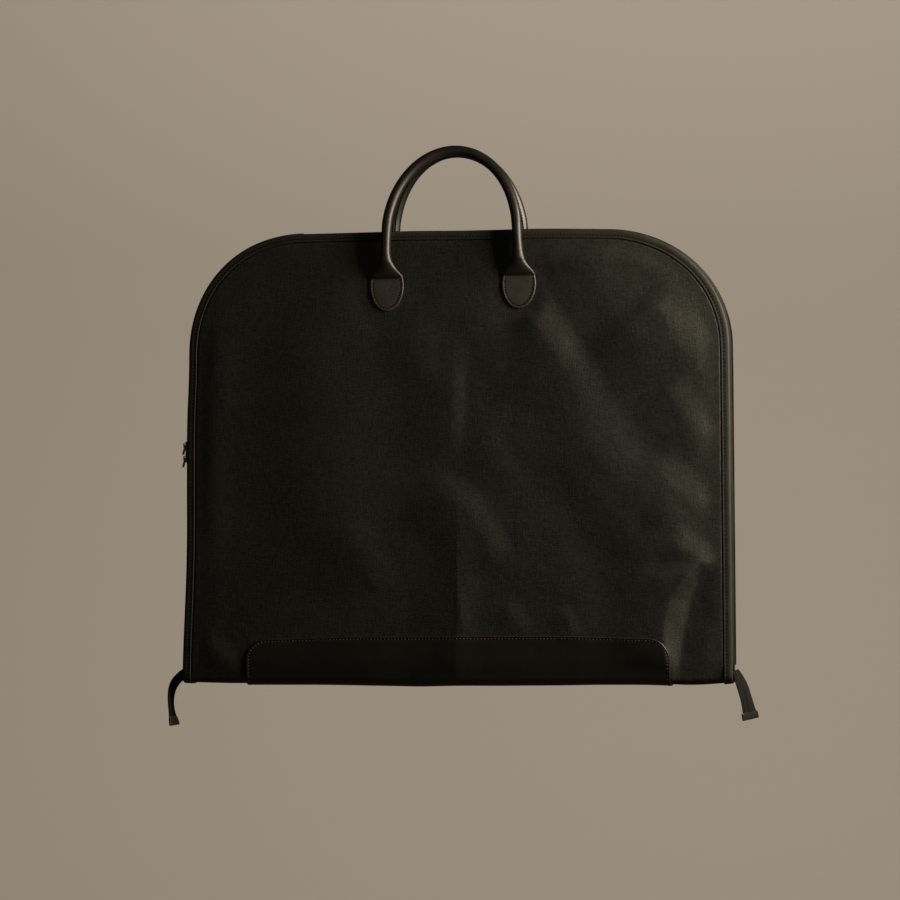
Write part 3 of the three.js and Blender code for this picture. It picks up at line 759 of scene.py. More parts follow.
def binding(side):
    name = HALF[side] + "_binding_band"
    run = outline(FOLD_RISE, 1.25)
    points, _, lengths = run
    along = lengths[:, None]
    inset, depth = BINDING_PROFILE[None, :, 0], BINDING_PROFILE[None, :, 1]
    on_face = np.where(depth > 16.4, 1.0, 0.0)
    wave = 2 * PI * along / BINDING_STITCH
    # dimples under the stitches, a faint pucker at the inner edge and slow waver
    dimple = (-0.55 * np.exp(-((inset - BINDING_ROW) / 1.1) ** 2)
              * (0.5 + 0.5 * np.cos(wave)) ** 2)
    pucker = 0.07 * np.cos(wave + 0.6) * np.exp(-((inset - 8.2) / 0.8) ** 2)
    depth = depth + on_face * (dimple + pucker)
    depth = depth + on_face * 0.10 * lattice(along, 5.0, 26, 60 + side)
    inset = (inset + np.where(inset > 6.8, 0.18 * lattice(along, 9.0, 34, 64 + side), 0)
             + 0.12 * np.where(inset < 3, lattice(along, 0.0, 40, 68 + side), 0))
    # thinner where it turns under the bag
    thinner = 1 - 0.30 * smooth(BEND_Z + 4, BEND_Z - 4, points[:, 1])[:, None]
    depth = np.where(depth > BINDING_UNDERSIDE,
                     BINDING_UNDERSIDE + (depth - BINDING_UNDERSIDE) * thinner, depth)
    band = mesh(name, tube(place(run, inset, depth, side)), BIND, sharp=50)
    fit_sheet(band, side, "binding", ["binding_left", "binding_right"])

    at = np.arange(12.0, lengths[-1] - 14.0, BINDING_STITCH)
    stitch_depth = 16.50
    centres = place(resample(run, at), BINDING_ROW, stitch_depth, side)[:, 0]
    raised = place(resample(run, at), BINDING_ROW, stitch_depth + 1, side)[:, 0]
    along = run_direction(run, at, BINDING_ROW, stitch_depth, side)
    solid = threads(centres, along, raised - centres, 2.0, 0.62)
    fit_fold(mesh(name + "_stitching", solid, DARK_THREAD, sharp=0))


for bag_side in (FRONT, BACK):
    binding(bag_side)


# ---- zip wall: ribbed tape, teeth, stitches and edge wire of each half
def bulge(depth):
    """How far the zip wall stands out beyond its sewn edge."""
    return 3.0 * (1 - np.clip(np.asarray(depth, float) / ZIP_DEPTH, 0, 1) ** 2)


def zip_tape(side):
    run = outline(ZIP_END, 2.5)
    depth = np.concatenate([np.linspace(ZIP_DEPTH, 3.4, 30), np.linspace(3.1, 0.6, 8)])
    ribs = 0.09 * np.cos(2 * PI * depth / 1.35) * smooth(3.0, 3.6, depth)
    hems = (0.22 * np.exp(-((depth - 4.3) / 0.35) ** 2)
            + 0.16 * np.exp(-((depth - 10.4) / 0.3) ** 2))
    wave = 0.12 * lattice(run[2][:, None], depth[None, :] * 3, 30, 80 + side)
    solid = slab(place(run, 1.5 - bulge(depth) - ribs - hems + wave, depth, side),
                 place(run, 2.3 - bulge(depth), depth, side))
    fit(mesh(HALF[side] + "_zip_side", solid, TAPE),
        HALF[side] + "_half", HALF[side] + "_zip_tape")


TOOTH_PITCH = 2.2
TOOTH_ROOT = 3.0                          # depth of a tooth's root
TOOTH_INSET = -2.25                       # inset of a tooth's middle
# round a tooth's section: place along the zip, and inset
TOOTH_ALONG = np.array([-0.62, -0.42, 0.42, 0.62, 0.62, 0.42, -0.42, -0.62])
TOOTH_SECTION = np.array([-2.45, -2.75, -2.75, -2.45, -2.05, -1.75, -1.75, -2.05])
# from tip to root: share of the way, width and thickness
TOOTH_RINGS = ((0.0, 0.55, 0.6), (0.10, 0.92, 0.95), (0.25, 1.0, 1.0), (0.55, 0.72, 0.85),
               (0.85, 0.72, 0.85), (1.0, 0.6, 0.7))


def zip_teeth(side):
    """Teeth of one half, set between those of the other."""
    run = outline(ZIP_END, 2.5)
    at = np.arange(1.4 if side == FRONT else 2.5, run[2][-1] - 1.0, TOOTH_PITCH)
    points, inward, _ = resample(run, at)
    # a short stretch of the left side is open
    apart = (points[:, 0] < -HALF_WIDTH + 1) & (np.abs(points[:, 1] - 258.0) < 14.5)
    tip = np.where(apart, 0.62, -0.55)
    way = unit(np.stack([-inward[:, 1], inward[:, 0]], 1))
    rings = []
    for share, wide, thick in TOOTH_RINGS:
        inset = TOOTH_INSET + (TOOTH_SECTION - TOOTH_INSET) * thick
        x, rise = (points[:, k, None] + inset * inward[:, k, None]
                   + TOOTH_ALONG * wide * way[:, k, None] for k in (0, 1))
        rings.append(wrap(x, rise, (tip + (TOOTH_ROOT - tip) * share)[:, None], side))
    fit(mesh(HALF[side] + "_zip_teeth", tubes(np.stack(rings, 1)), COIL, sharp=50),
        HALF[side] + "_half", HALF[side] + "_zip_coil")


def zip_stitching(side):
    """Row of stitches that holds the tape."""
    run = outline(ZIP_END, 2.5)
    at = np.arange(3, run[2][-1] - 3, 3.6)
    depth = 10.4
    row = resample(run, at)
    centres = place(row, 1.5 - float(bulge(depth)) - 0.18, depth, side)[:, 0]
    outward = centres - place(row, 3.0, depth, side)[:, 0]
    solid = threads(centres, run_direction(run, at, 0, depth, side), outward, 2.5, 0.28)
    fit(mesh(HALF[side] + "_zip_stitching", solid, THREAD, sharp=0),
        HALF[side] + "_half")


def spring_wire(side):
    """Wire round the edge, between cloth and lining."""
    turn = angles(10)
    rings = place(outline(8.0, 4.0), 4.3 + 0.72 * np.cos(turn), 12.85 + 0.62 * np.sin(turn), side)
    fit(mesh(HALF[side] + "_spring_wire", tube(rings), STEEL, sharp=50),
        HALF[side] + "_half", HALF[side] + "_edge_wire")


for bag_side in (FRONT, BACK):
    zip_tape(bag_side)
    zip_teeth(bag_side)
    zip_stitching(bag_side)
    spring_wire(bag_side)

# ------------------------------------------------------------------ leather base patch
PATCH_HALF_WIDTH, PATCH_TOP, PATCH_R = 232.0, 53.0, 23.0
PATCH_SEAM = 3.0                          # distance of its stitches from the edge
# height of its turned, stitched edge above the flat leather, by distance from the edge
LIP_AT = [0, 0.25, 0.6, 1.1, 1.7, 2.3, 2.8, 3.2, 3.7, 4.6, 7]
LIP_HEIGHT = [-1.0, -0.42, 0.12, 0.42, 0.34, 0.04, -0.16, -0.2, -0.12, 0.0, 0.0]


def patch_sag(x, z):
    """The sewn-on patch as it hangs: a little off the middle, its ends lower than its middle."""
    return x + PATCH_X, z - (3.0 * smooth(90, PATCH_HALF_WIDTH, np.abs(x)) - 0.8) * smooth(16, 50, z)


def patch(side):
    edge = [0, 0.25, 0.6, 1.0, 1.4, 1.9, 2.4, 2.8, 3.2, 3.6, 4.1, 5, 7]
    columns = sheet_columns(PATCH_HALF_WIDTH, edge, 3.0, extra=np.arange(-8, 9, 1.0))[None, :]
    rows = sheet_rows([PATCH_TOP - distance for distance in edge], PATCH_TOP - 9, 3.0, 26,
                      under_top=12.6)[:, None]
    distance = np.minimum(PATCH_HALF_WIDTH - np.abs(columns), PATCH_TOP - rows)
    x, z = patch_sag(*rounded(columns, rows, PATCH_HALF_WIDTH, PATCH_TOP, PATCH_R))
    height = relief(x, z, side) * 0.9
    soft = 0.10 * lattice(x, z, 30, 90 + side) + 0.05 * lattice(x, z, 9, 92 + side)
    under = smooth(BEND_Z + 3, BEND_Z - 3, z)
    lip = np.interp(distance, LIP_AT, LIP_HEIGHT)
    depth = 16.85 + (lip + soft) * (1 - 0.6 * under) + height
    solid = slab(wrap(x, z, depth, side), wrap(x, z, 15.3 + height, side))
    name = HALF[side] + "_patch_leather"
    fit_sheet(mesh(name, solid, HIDE), side, "patch", ["patch"])

    points, _, lengths = outline(-4.0, 0.5, PATCH_HALF_WIDTH - PATCH_SEAM, PATCH_TOP - PATCH_SEAM,
                                 PATCH_R - PATCH_SEAM, arc_count=60)

    def on_seam(at, lift=0):
        x, z = patch_sag(*sample(at, lengths, points).T)
        return wrap(x, z, 16.72 + relief(x, z, side) * 0.9 + lift, side)

    at = np.arange(2, lengths[-1] - 2, 3.8)
    centres = on_seam(at)
    solid = threads(centres, on_seam(at + 0.8) - centres, on_seam(at, lift=1) - centres, 2.1, 0.52)
    fit_fold(mesh(name + "_stitching", solid, PALE_THREAD, sharp=0))


for bag_side in (FRONT, BACK):
    patch(bag_side)

# ------------------------------------------------------------------ chapes under the handle ends
CHAPE_TOP, CHAPE_LOW = 448.4, 408.0
CHAPE_HALF_TOP, CHAPE_HALF_WIDTH = 16.6, 18.7
CHAPE_SHOULDER = 12                       # height over which it widens
CHAPE_COUNT = 96                          # points round it
# from the edge inwards: inset and depth, then share of the inner outline and depth
CHAPE_LEVELS = [(0, 15.3), (0.0, 16.5), (0.25, 17.15), (0.7, 17.4), (1.3, 17.5), (1.9, 17.4),
                (2.3, 17.22), (2.8, 17.06), (3.3, 17.04), (3.9, 17.2), (5.0, 17.3)]
CHAPE_MIDDLE = ((0.72, 17.36), (0.45, 17.42), (0.2, 17.45))


def shield(centre_x):
    """Outline of a chape: straight top, shoulders that widen, round foot."""
    widening = CHAPE_HALF_WIDTH - CHAPE_HALF_TOP
    foot_top = CHAPE_TOP - CHAPE_SHOULDER
    count = CHAPE_COUNT
    points = [(-CHAPE_HALF_TOP + 2 * CHAPE_HALF_TOP * k / (count // 3), CHAPE_TOP)
              for k in range(count // 3)]
    for t in np.linspace(0, 1, count // 12, endpoint=False):
        points.append((CHAPE_HALF_TOP + widening * math.sin(t * PI / 2),
                       CHAPE_TOP - CHAPE_SHOULDER * t))
    for t in np.linspace(0, PI, count // 2, endpoint=False):
        points.append((CHAPE_HALF_WIDTH * math.cos(t),
                       foot_top - (foot_top - CHAPE_LOW) * math.sin(t) ** 0.96))
    for t in np.linspace(1, 0, count // 12, endpoint=False):
        points.append((-CHAPE_HALF_TOP - widening * math.sin(t * PI / 2),
                       CHAPE_TOP - CHAPE_SHOULDER * t))
    return np.array(points) + (centre_x, 0)


def moved_in(points, inset):
    normals = loop_normals(points)
    outward = np.sum((points.mean(0) - points) * normals, 1, keepdims=True) < 0
    return points + np.where(outward, -normals, normals) * inset


def chape(side, end, end_sign):
    name = f"{HALF[side]}_chape_{end}"
    centre_x = end_sign * CHAPE_X
    points = shield(centre_x)
    count = len(points)

    def at_depth(loop, depth):
        return np.concatenate([loop, np.full((count, 1), depth)], 1)

    loops = [at_depth(moved_in(points, inset), depth) for inset, depth in CHAPE_LEVELS]
    centre = np.array([centre_x, 427.0])
    inner = moved_in(points, CHAPE_LEVELS[-1][0])
    loops += [at_depth(centre + (inner - centre) * share, depth) for share, depth in CHAPE_MIDDLE]
    x, rise, depth = np.moveaxis(np.stack(loops), -1, 0)
    depth[4:] += 0.06 * lattice(x[4:], rise[4:], 7, 120 + side)
    lift = max(0, relief(np.array([centre_x]), np.array([CHAPE_Z]), side)[0] * 0.25)
    grid = wrap(x, rise, np.where(depth > 15.4, depth + lift, depth), side)
    last = (len(loops) - 1) * count
    faces = grid_faces(len(loops), count, around=True) + [list(range(count))]
    faces += [[last + k, last + (k + 1) % count, last + count] for k in range(count)]
    solid = np.concatenate([grid.reshape(-1, 3), grid[-1].mean(0)[None]]), faces
    # the chape's leather is the lighter copy, with painted sheen in its colour
    fit(mesh(name + "_leather", solid, CHAPE_HIDE_PAINTED_SHEEN, sharp=55), HALF[side] + "_half", name)

    # stitches round the foot and sides
    seam = moved_in(points, 3.2)[count // 3:]
    seam = seam[seam[:, 1] < 442.4]
    lengths = run_lengths(seam)
    at = np.arange(1.0, lengths[-1] - 0.8, 3.1)
    centres, ahead = (wrap(*sample(spots, lengths, seam).T, 17.08 + lift, side)
                      for spots in (at, at + 0.5))
    solid = threads(centres, ahead - centres, (0, side, 0), 1.9, 0.72)
    fit(mesh(name + "_stitching", solid, DARK_THREAD, sharp=0), HALF[side] + "_half")


# ------------------------------------------------------------------ handles
# centre line of the flattened ends: z and depth
FLARE = [(443.6, 17.85), (444.1, 17.9), (445.2, 18.05), (446.2, 18.2), (447.4, 18.4),
         (448.8, 18.7), (450.4, 19.05), (452.2, 19.5), (454.0, 19.95), (456.0, 20.5),
         (458.0, 21.1), (460.0, 21.8)]
# line above the flattened ends: z, x and depth
LEG = [(462, 73.2, 22.6), (470, 73.2, 23.2), (480, 72.8, 23.6)]
ARCH_HALF_WIDTH, ARCH_LOW, ARCH_TOP = 72.3, 490, 584
# section: z, half width, half thickness and squareness (2 is an ellipse)
HANDLE_SECTION = np.array([
    (443.6, 16.6, 0.6, 3.2), (444.1, 17.3, 0.95, 3.0), (445.2, 17.4, 1.4, 2.5),
    (447.2, 16.6, 2.3, 2.2), (450, 14.7, 3.4, 2.05), (453.2, 12.0, 4.3, 2.0),
    (456.6, 9.6, 4.9, 2.0), (460.5, 7.6, 5.2, 2.0), (465, 6.3, 5.1, 2.0), (470, 5.6, 5.3, 2.0),
    (478, 5.2, 5.3, 2.0), (490, 5.3, 5.5, 2.0), (505, 5.6, 5.6, 2.0)])
HANDLE_R = 5.6
CAVITY_R = 4.45                           # inside of the rolled leather
SEAM_ANGLE = -PI / 2                      # the seam faces the other handle


def handle_frame(side):
    """A handle's centre line, with directions across it and away from the other handle."""
    points = [(-x, side * depth, z) for z, x, depth in LEG]
    for k in range(15):
        turn = PI - PI * k / 14
        height = max(math.sin(turn), 0.0)
        points.append((ARCH_HALF_WIDTH * math.cos(turn), side * (23.7 - 17.1 * height ** 1.35),
                       ARCH_LOW + (ARCH_TOP - ARCH_LOW) * height))
    points += [(x, side * depth, z) for z, x, depth in LEG[::-1]]
    left, right = (np.array([(sign * CHAPE_X, side * depth, z) for z, depth in FLARE])
                   for sign in (-1, 1))
    line = np.concatenate([left, catmull(points, 150), right[::-1]])
    along = unit(np.gradient(line, axis=0))
    away = np.array([0.0, side, 0.0])
    outward = unit(away - along * np.sum(along * away, -1, keepdims=True))
    across = unit(np.cross(along, outward))
    # the flattened ends keep upright sections, so that their edge stays square to the chape
    ends = np.r_[0:len(FLARE), len(line) - len(FLARE):len(line)]
    outward[ends] = away
    across[ends] = unit(across[ends] * (1.0, 0, 0))
    return line, across, outward


def fit_neck(piece):
    """Bake a piece's placement into its mesh. It is not attached to any body."""
    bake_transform(piece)


def round_rings(line, across, outward, radius, turn):
    """Rings round a line. The radius may be a number or a grid."""
    radius = np.asarray(radius)[..., None]
    return line[:, None] + radius * (np.cos(turn)[None, :, None] * across[:, None]
                                     + np.sin(turn)[None, :, None] * outward[:, None])


def handle_leather(side, line, across, outward):
    count = len(line)
    half_width, half_thick, power = (
        np.interp(line[:, 2], HANDLE_SECTION[:, 0], HANDLE_SECTION[:, k])[:, None]
        for k in (1, 2, 3))
    turn = angles(48)
    wide = signed_power(np.cos(turn), 2 / power) * half_width
    thick = signed_power(np.sin(turn), 2 / power) * half_thick
    # seam: two raised edges with a groove between them, and crumpled leather
    lengths = run_lengths(line)
    on_roll = (smooth(20, 34, lengths) * smooth(20, 34, lengths[-1] - lengths))[:, None]
    off_seam = np.angle(np.exp(1j * (turn - SEAM_ANGLE)))
    bump = (0.55 * np.exp(-((np.abs(off_seam) - 0.28) / 0.15) ** 2)
            - 0.30 * np.exp(-(off_seam / 0.10) ** 2))[None, :] * on_roll
    crumple = 0.07 * lattice(lengths[:, None], turn[None, :] * 6, 9, 140 + side) * on_roll
    grow = 1 + (bump + crumple) / HANDLE_R
    rings = (line[:, None] + across[:, None] * (wide * grow)[..., None]
             + outward[:, None] * (thick * grow)[..., None])
    outer_points, faces = tube(rings)
    # hollow round the rope
    first, last = len(FLARE) + 5, count - len(FLARE) - 5
    inner_points, inner_faces = tube(round_rings(
        line[first:last], across[first:last], outward[first:last], CAVITY_R, angles(16)))
    outer_count = len(outer_points)
    faces = faces + [[i + outer_count for i in face[::-1]] for face in inner_faces]
    piece = mesh(HALF[side] + "_handle_leather",
                 (np.concatenate([outer_points, inner_points]), faces), ROLLED, sharp=50)
    # the mesh helper turns every face outwards: turn the hollow's faces inwards again
    edit = bmesh.new()
    edit.from_mesh(piece.data)
    hollow = [face for face in edit.faces if face.verts[0].index >= outer_count]
    centre = Vector(line[first + 20] * MM)
    nearest = min(hollow, key=lambda face: (face.calc_center_median() - centre).length)
    if (nearest.calc_center_median() - centre).dot(nearest.normal) > 0:
        bmesh.ops.reverse_faces(edit, faces=hollow)
    edit.to_mesh(piece.data)
    edit.free()
    fit_neck(piece)
    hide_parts(HALF[side] + "_handle_cover")


def handle_stitching(side, line, across, outward):
    """Stitches beside the seam."""
    lengths = run_lengths(line)
    at = np.arange(30, lengths[-1] - 30, 3.3)
    angle, radius = SEAM_ANGLE + 0.34, HANDLE_R + 0.30

    def on_surface(at):
        middle, aside, away = (sample(at, lengths, rows) for rows in (line, across, outward))
        return middle + radius * (math.cos(angle) * aside + math.sin(angle) * away)

    centres = on_surface(at)
    solid = threads(centres, on_surface(at + 0.7) - centres,
                    centres - sample(at, lengths, line), 2.3, 0.42)
    fit(mesh(HALF[side] + "_handle_stitching", solid, PALE_THREAD, sharp=0),
        HALF[side] + "_handle")


def neck_stitching(side, end, end_sign):
    """Straight row where a handle is sewn to its chape."""
    offset = np.arange(-14.4, 14.5, 3.2)
    depth = 18.1 + 1.56 * (1 - (np.abs(offset) / 17.3) ** 2.5) ** 0.4
    centres = np.stack([end_sign * CHAPE_X + offset, side * depth, np.full(len(offset), 445.6)], 1)
    solid = threads(centres, (1.0, 0, 0), (0, side, 0.35), 1.9, 0.7)
    fit_neck(mesh(f"{HALF[side]}_neck_{end}_stitching", solid, DARK_THREAD, sharp=0))


def handle_rope(side, line, across, outward):
    """Rope core of three twisted strands."""
    trim = len(FLARE) + 7
    inner = slice(trim, len(line) - trim)
    stations = np.arange(len(line[inner]))
    fine = np.linspace(0, stations[-1], 320)
    line, across, outward = (sample(fine, stations, rows[inner])
                             for rows in (line, across, outward))
    turn = angles(24)
    twist = run_lengths(line)[:, None] * 2 * PI / 22
    radius = 3.35 + 0.5 * np.abs(np.cos(1.5 * (turn[None, :] + twist)))
    rings = round_rings(line, unit(across), unit(outward), radius, turn)
    fit(mesh(HALF[side] + "_handle_rope", tube(rings), ROPE),
        HALF[side] + "_handle", HALF[side] + "_handle_core")


for bag_side in (FRONT, BACK):
    for end_name, sign in ENDS:
        chape(bag_side, end_name, sign)
    roll = handle_frame(bag_side)
    handle_leather(bag_side, *roll)
    handle_stitching(bag_side, *roll)
    for end_name, sign in ENDS:
        neck_stitching(bag_side, end_name, sign)
    handle_rope(bag_side, *roll)


# ------------------------------------------------------------------ the fold's corner gussets
def gusset(end, end_sign, out_x):
    y, z = np.meshgrid(np.linspace(-12, 12, 33),
                       np.concatenate([np.linspace(3.6, 15.5, 15), [16.4, 17.1, 17.5]]))
    x = (out_x - 0.55 * np.abs(np.sin(PI * y / 12.0)) * smooth(3.6, 9, z)
         - 0.5 * smooth(14.5, 17.5, z) + 0.06 * np.cos(2 * PI * y / 1.3))
    solid = slab(np.stack([end_sign * x, y, z], -1), np.stack([end_sign * (x - 0.75), y, z], -1))
    fit(mesh(f"base_gusset_{end}_cloth", solid, TAPE), "base", f"base_gusset_{end}")


gusset("left", -1, out_x=298.45 + 4.2)    # the left corner spreads
gusset("right", 1, out_x=298.45)

# ------------------------------------------------------------------ the hanging zip ends
TAB_START = 0.85                          # share of the length where the end tab begins
TAB_SWELL = [0.55, 0.85, 1.0] + [1.0] * 8 + [1.0, 0.85, 0.5]   # thickness along the tab


def tail(end, end_sign, path, twist):
    """Loose zip end in the plane Y = 0: path (x, z), and twist (share of length, degrees)."""
    points = catmull(path, 90)
    lengths = run_lengths(points)
    share = lengths / lengths[-1]
    way = unit(np.gradient(points, axis=0))
    none = 0 * share
    along = np.stack([way[:, 0], none, way[:, 1]], 1)
    flat = np.stack([way[:, 1], none, -way[:, 0]], 1)
    flat = flat * np.sign(flat[:, :1] + 1e-9)
    angle = np.radians(blurred(share, *zip(*twist), taps=(-0.08, -0.04, 0, 0.04, 0.08)))[:, None]
    across = unit(np.sin(angle) * flat + np.cos(angle) * np.array([0, 1.0, 0]))
    normal = np.cross(along, across)
    normal = np.where(normal[:, :1] * end_sign < 0, -normal, normal)
    line = np.stack([points[:, 0], none, points[:, 1]], 1)
    tail_tape(end, share, lengths, line, across, normal)
    end_tab(end, share, line, across, normal)


def tail_tape(end, share, lengths, line, across, normal):
    """Both tapes side by side, folded a little along their length, the coil down the middle."""
    kept = share <= TAB_START + 0.02
    width = np.linspace(-13, 13, 61)[None, :]
    share, along = share[kept][:, None], lengths[kept][:, None]
    line, across, normal = (rows[kept][:, None] for rows in (line, across, normal))
    gather = 1 - 0.10 * smooth(0.1, 0.6, share) + 0.05 * smooth(0.6, 0.9, share)
    ribs = 0.10 * np.cos(2 * PI * width / 1.5)
    pleat = (0.85 * np.cos(2 * PI * width / 10.5 + 0.5) * smooth(0.02, 0.4, share)
             * smooth(1.0, 0.8, share))
    coil = (np.exp(-(np.abs(width) / 2.1) ** 4)
            * (0.85 + 0.30 * np.abs(np.sin(PI * along / 2.2))))
    middle = line + across * (width * gather)[..., None] + normal * pleat[..., None]
    solid = slab(middle + normal * (0.45 + ribs + coil)[..., None],
                 middle - normal * (0.45 - 0.5 * ribs)[..., None])
    # the loose ends' tape is the darker copy, with painted shade in its colour
    fit(mesh(f"zip_tail_{end}_tape", solid, TAIL_TAPE_PAINTED_SHADE),
        "tail_" + end, f"zip_tail_{end}")


def end_tab(end, share, line, across, normal):
    """Sewn end tab, wrapped over both faces."""
    stations = np.arange(len(share))
    at = np.linspace(np.where(share >= TAB_START)[0][0], len(share) - 1, 14)
    centre, across, normal = (sample(at, stations, rows) for rows in (line, across, normal))
    across, normal = unit(across), unit(normal)
    turn = angles(40)
    wide = signed_power(np.cos(turn), 0.35) * 14.0
    thick = signed_power(np.sin(turn), 0.7) * 1.75
    swell = np.array(TAB_SWELL)[:, None]
    rings = (centre[:, None] + across[:, None] * (wide * (0.97 + 0.03 * swell))[..., None]
             + normal[:, None] * (thick * swell)[..., None])
    fit(mesh(f"zip_end_tab_{end}_leather", tube(rings), HIDE, sharp=50),
        "tail_" + end, f"zip_end_tab_{end}")
    k = 4                                 # the ring that carries the stitches
    centres = centre[k] + across[k] * np.arange(-12, 12.1, 3.0)[:, None] + normal[k] * 1.7
    solid = threads(centres, across[k], normal[k], 2.1, 0.3)
    fit(mesh(f"zip_end_tab_{end}_stitching", solid, THREAD, sharp=0), "tail_" + end)


tail("left", -1,
     path=[(-301.6, 16.5), (-309, 11), (-316.2, 4), (-320.4, -5), (-321.8, -17),
           (-320.6, -29.5), (-317.6, -44)],
     twist=[(0, 14), (0.15, 14), (0.38, 3), (0.6, -4), (0.8, -4), (0.92, 4), (1, 6)])
tail("right", 1,
     path=[(301.6, 16.5), (305.4, 8), (308.2, 1), (312, -11), (315, -23), (317.6, -35.6)],
     twist=[(0, 8), (0.12, 16), (0.35, 25), (0.7, 28), (1, 34)])

# ------------------------------------------------------------------ straps and hanger
STRAP_HALF_WIDTH = 12.4
STRAP_Z = {FRONT: 250.0, BACK: 150.0}
# strap lines: x and depth
STRAP_LEFT = [(-288, 10.7), (-240, 10.55), (-160, 10.45), (-80, 10.5), (-36, 10.3), (-31.5, 8.6),
              (-29.2, 5.6), (-27.2, 4.4), (-25.3, 5.4), (-24.8, 8.0), (-24.8, 10.4)]
STRAP_RIGHT = [(45, 10.55), (110, 10.45), (200, 10.5), (288, 10.7)]
STRAP_TAIL = [(10.25, 10.2), (10.25, 8.4), (11.6, 4.9), (13.8, 4.75), (16.5, 6.9), (22, 8.6),
              (60, 8.75), (118, 8.9)]
# hanger loop: depth and z
HANGER_LOOP = [(10.75, 487), (10.8, 478), (10.75, 468), (9.7, 464.0), (8.0, 462.9), (6.2, 464.2),
               (5.35, 467.5), (5.6, 474), (7.2, 480), (9.45, 484), (9.5, 487)]


def ribbon(node, line, half_width, centre, body, side, thick=1.15, width_axis="z", waver=0.0,
           seed=200):
    """Webbing whose width runs along Z, with a line of (x, depth), or along X, with a line of
    (depth, z). It is named after the CAD node it replaces."""
    path = catmull(line, int(3 * len(line) + run_lengths(np.array(line, float))[-1] / 2.2))
    way = unit(np.gradient(path, axis=0))
    normal = np.stack([-way[:, 1], way[:, 0]], 1)
    width = np.linspace(-half_width, half_width, 27)
    thinning = 1 - 0.45 * smooth(half_width - 1.2, half_width, np.abs(width))
    rib = 0.07 * np.cos(2 * PI * width / 1.9)
    place_across = width[None, :] + waver * lattice(
        np.arange(len(path))[:, None] * 4.0, 0 * width[None, :], 60, seed)

    def face(sign):
        offset = sign * (thick / 2 * thinning + rib)
        first, second = (path[:, k, None] + normal[:, k, None] * offset for k in (0, 1))
        if width_axis == "z":
            return np.stack([first, side * second, centre + place_across], -1)
        return np.stack([centre + place_across, side * first, second], -1)

    fit(mesh(node + "_webbing", slab(face(1), face(-1)), WEB), body, node)


def box_stitch(name, left, right, low, high, depth, side):
    """A sewn rectangle with a cross, as at the end of a strap."""
    a, b, c, d = (left, low), (right, low), (right, high), (left, high)
    centres, ways = [], []
    for (x0, z0), (x1, z1) in ((a, b), (b, c), (c, d), (d, a), (a, c), (b, d)):
        count = max(2, int(math.hypot(x1 - x0, z1 - z0) / 3.0))
        for k in range(count):
            t = (k + 0.5) / count
            centres.append((x0 + (x1 - x0) * t, side * depth, z0 + (z1 - z0) * t))
            ways.append((x1 - x0, 0, z1 - z0))
    fit(mesh(name, threads(centres, ways, (0, -side, 0), 2.1, 0.3), THREAD, sharp=0),
        HALF[side] + "_half")


def straps(side):
    half, z = HALF[side], STRAP_Z[side]
    body = half + "_half"
    ribbon(half + "_strap_left", STRAP_LEFT, STRAP_HALF_WIDTH, z, body, side, waver=0.25, seed=201)
    ribbon(half + "_strap_right", STRAP_RIGHT, STRAP_HALF_WIDTH, z, body, side, waver=0.2, seed=202)
    ribbon(half + "_strap_tail", STRAP_TAIL, STRAP_HALF_WIDTH, z, half + "_buckle", side)
    for end, left, right in (("left", -284, -264), ("right", 264, 284)):
        box_stitch(f"{half}_strap_{end}_tack", left, right, z - 9, z + 9, 9.95, side)


def hanger_ring():
    """D-shaped wire ring with its straight part on top."""
    line = [(-13.0, 466)] + [(x, 466) for x in np.linspace(-9, 9, 7)] + [(13.0, 466)]
    line += [(14.35, 464.2)]
    line += [(14.4 * math.cos(t), 458 + 14.4 * math.sin(t)) for t in np.linspace(0, -PI, 22)]
    line = np.array(line + [(-14.35, 464.2)])
    normals = loop_normals(line)
    count, around, wire_r = len(line), 14, 1.5
    turn = angles(around)[None]
    x, z = (line[:, k, None] + wire_r * np.cos(turn) * normals[:, k, None] for k in (0, 1))
    rings = np.stack([x, np.full((count, around), -8.0) + wire_r * np.sin(turn), z], -1)
    last = (count - 1) * around
    faces = grid_faces(count, around, around=True)
    faces += [[last + j, last + (j + 1) % around, (j + 1) % around, j] for j in range(around)]
    fit(mesh("hanger_ring_wire", (rings.reshape(-1, 3), faces), STEEL),
        "ring", "hanger_ring")


for bag_side in (FRONT, BACK):
    straps(bag_side)
ribbon("hanger_tab", HANGER_LOOP, 9.0, 0.0, "front_half", FRONT, thick=0.8, width_axis="x")
box_stitch("hanger_tab_tack", -7, 7, 483.2, 486.4, 9.0, FRONT)
hanger_ring()

# ------------------------------------------------------------------ pocket on the back lining
POCKET_HALF_WIDTH, POCKET_LOW, POCKET_TOP = 190, 190, 398
POCKET_ZIP_Z = 408


def pocket_panel():
    """Hemmed cloth panel below the pocket's zip."""
    x, z = np.meshgrid(steps(-POCKET_HALF_WIDTH, POCKET_HALF_WIDTH, 4.0),
                       steps(POCKET_LOW, POCKET_TOP, 4.0))
    edge = np.minimum(POCKET_HALF_WIDTH - np.abs(x), np.minimum(z - POCKET_LOW, POCKET_TOP - z))
    slack = (0.30 * lattice(x, z, 48, 301) + 0.15 * lattice(x, z, 19, 302)) * smooth(3, 22, edge)
    hem = 0.22 * np.exp(-((POCKET_TOP - z) / 2.2) ** 2)
    solid = slab(np.stack([x, 10.55 + np.clip(slack, -0.35, 0.05) - hem, z], -1),
                 np.stack([x, 11.15 + 0 * x, z], -1))
    fit(mesh("pocket_cloth", solid, LINING), "back_half", "pocket_panel")


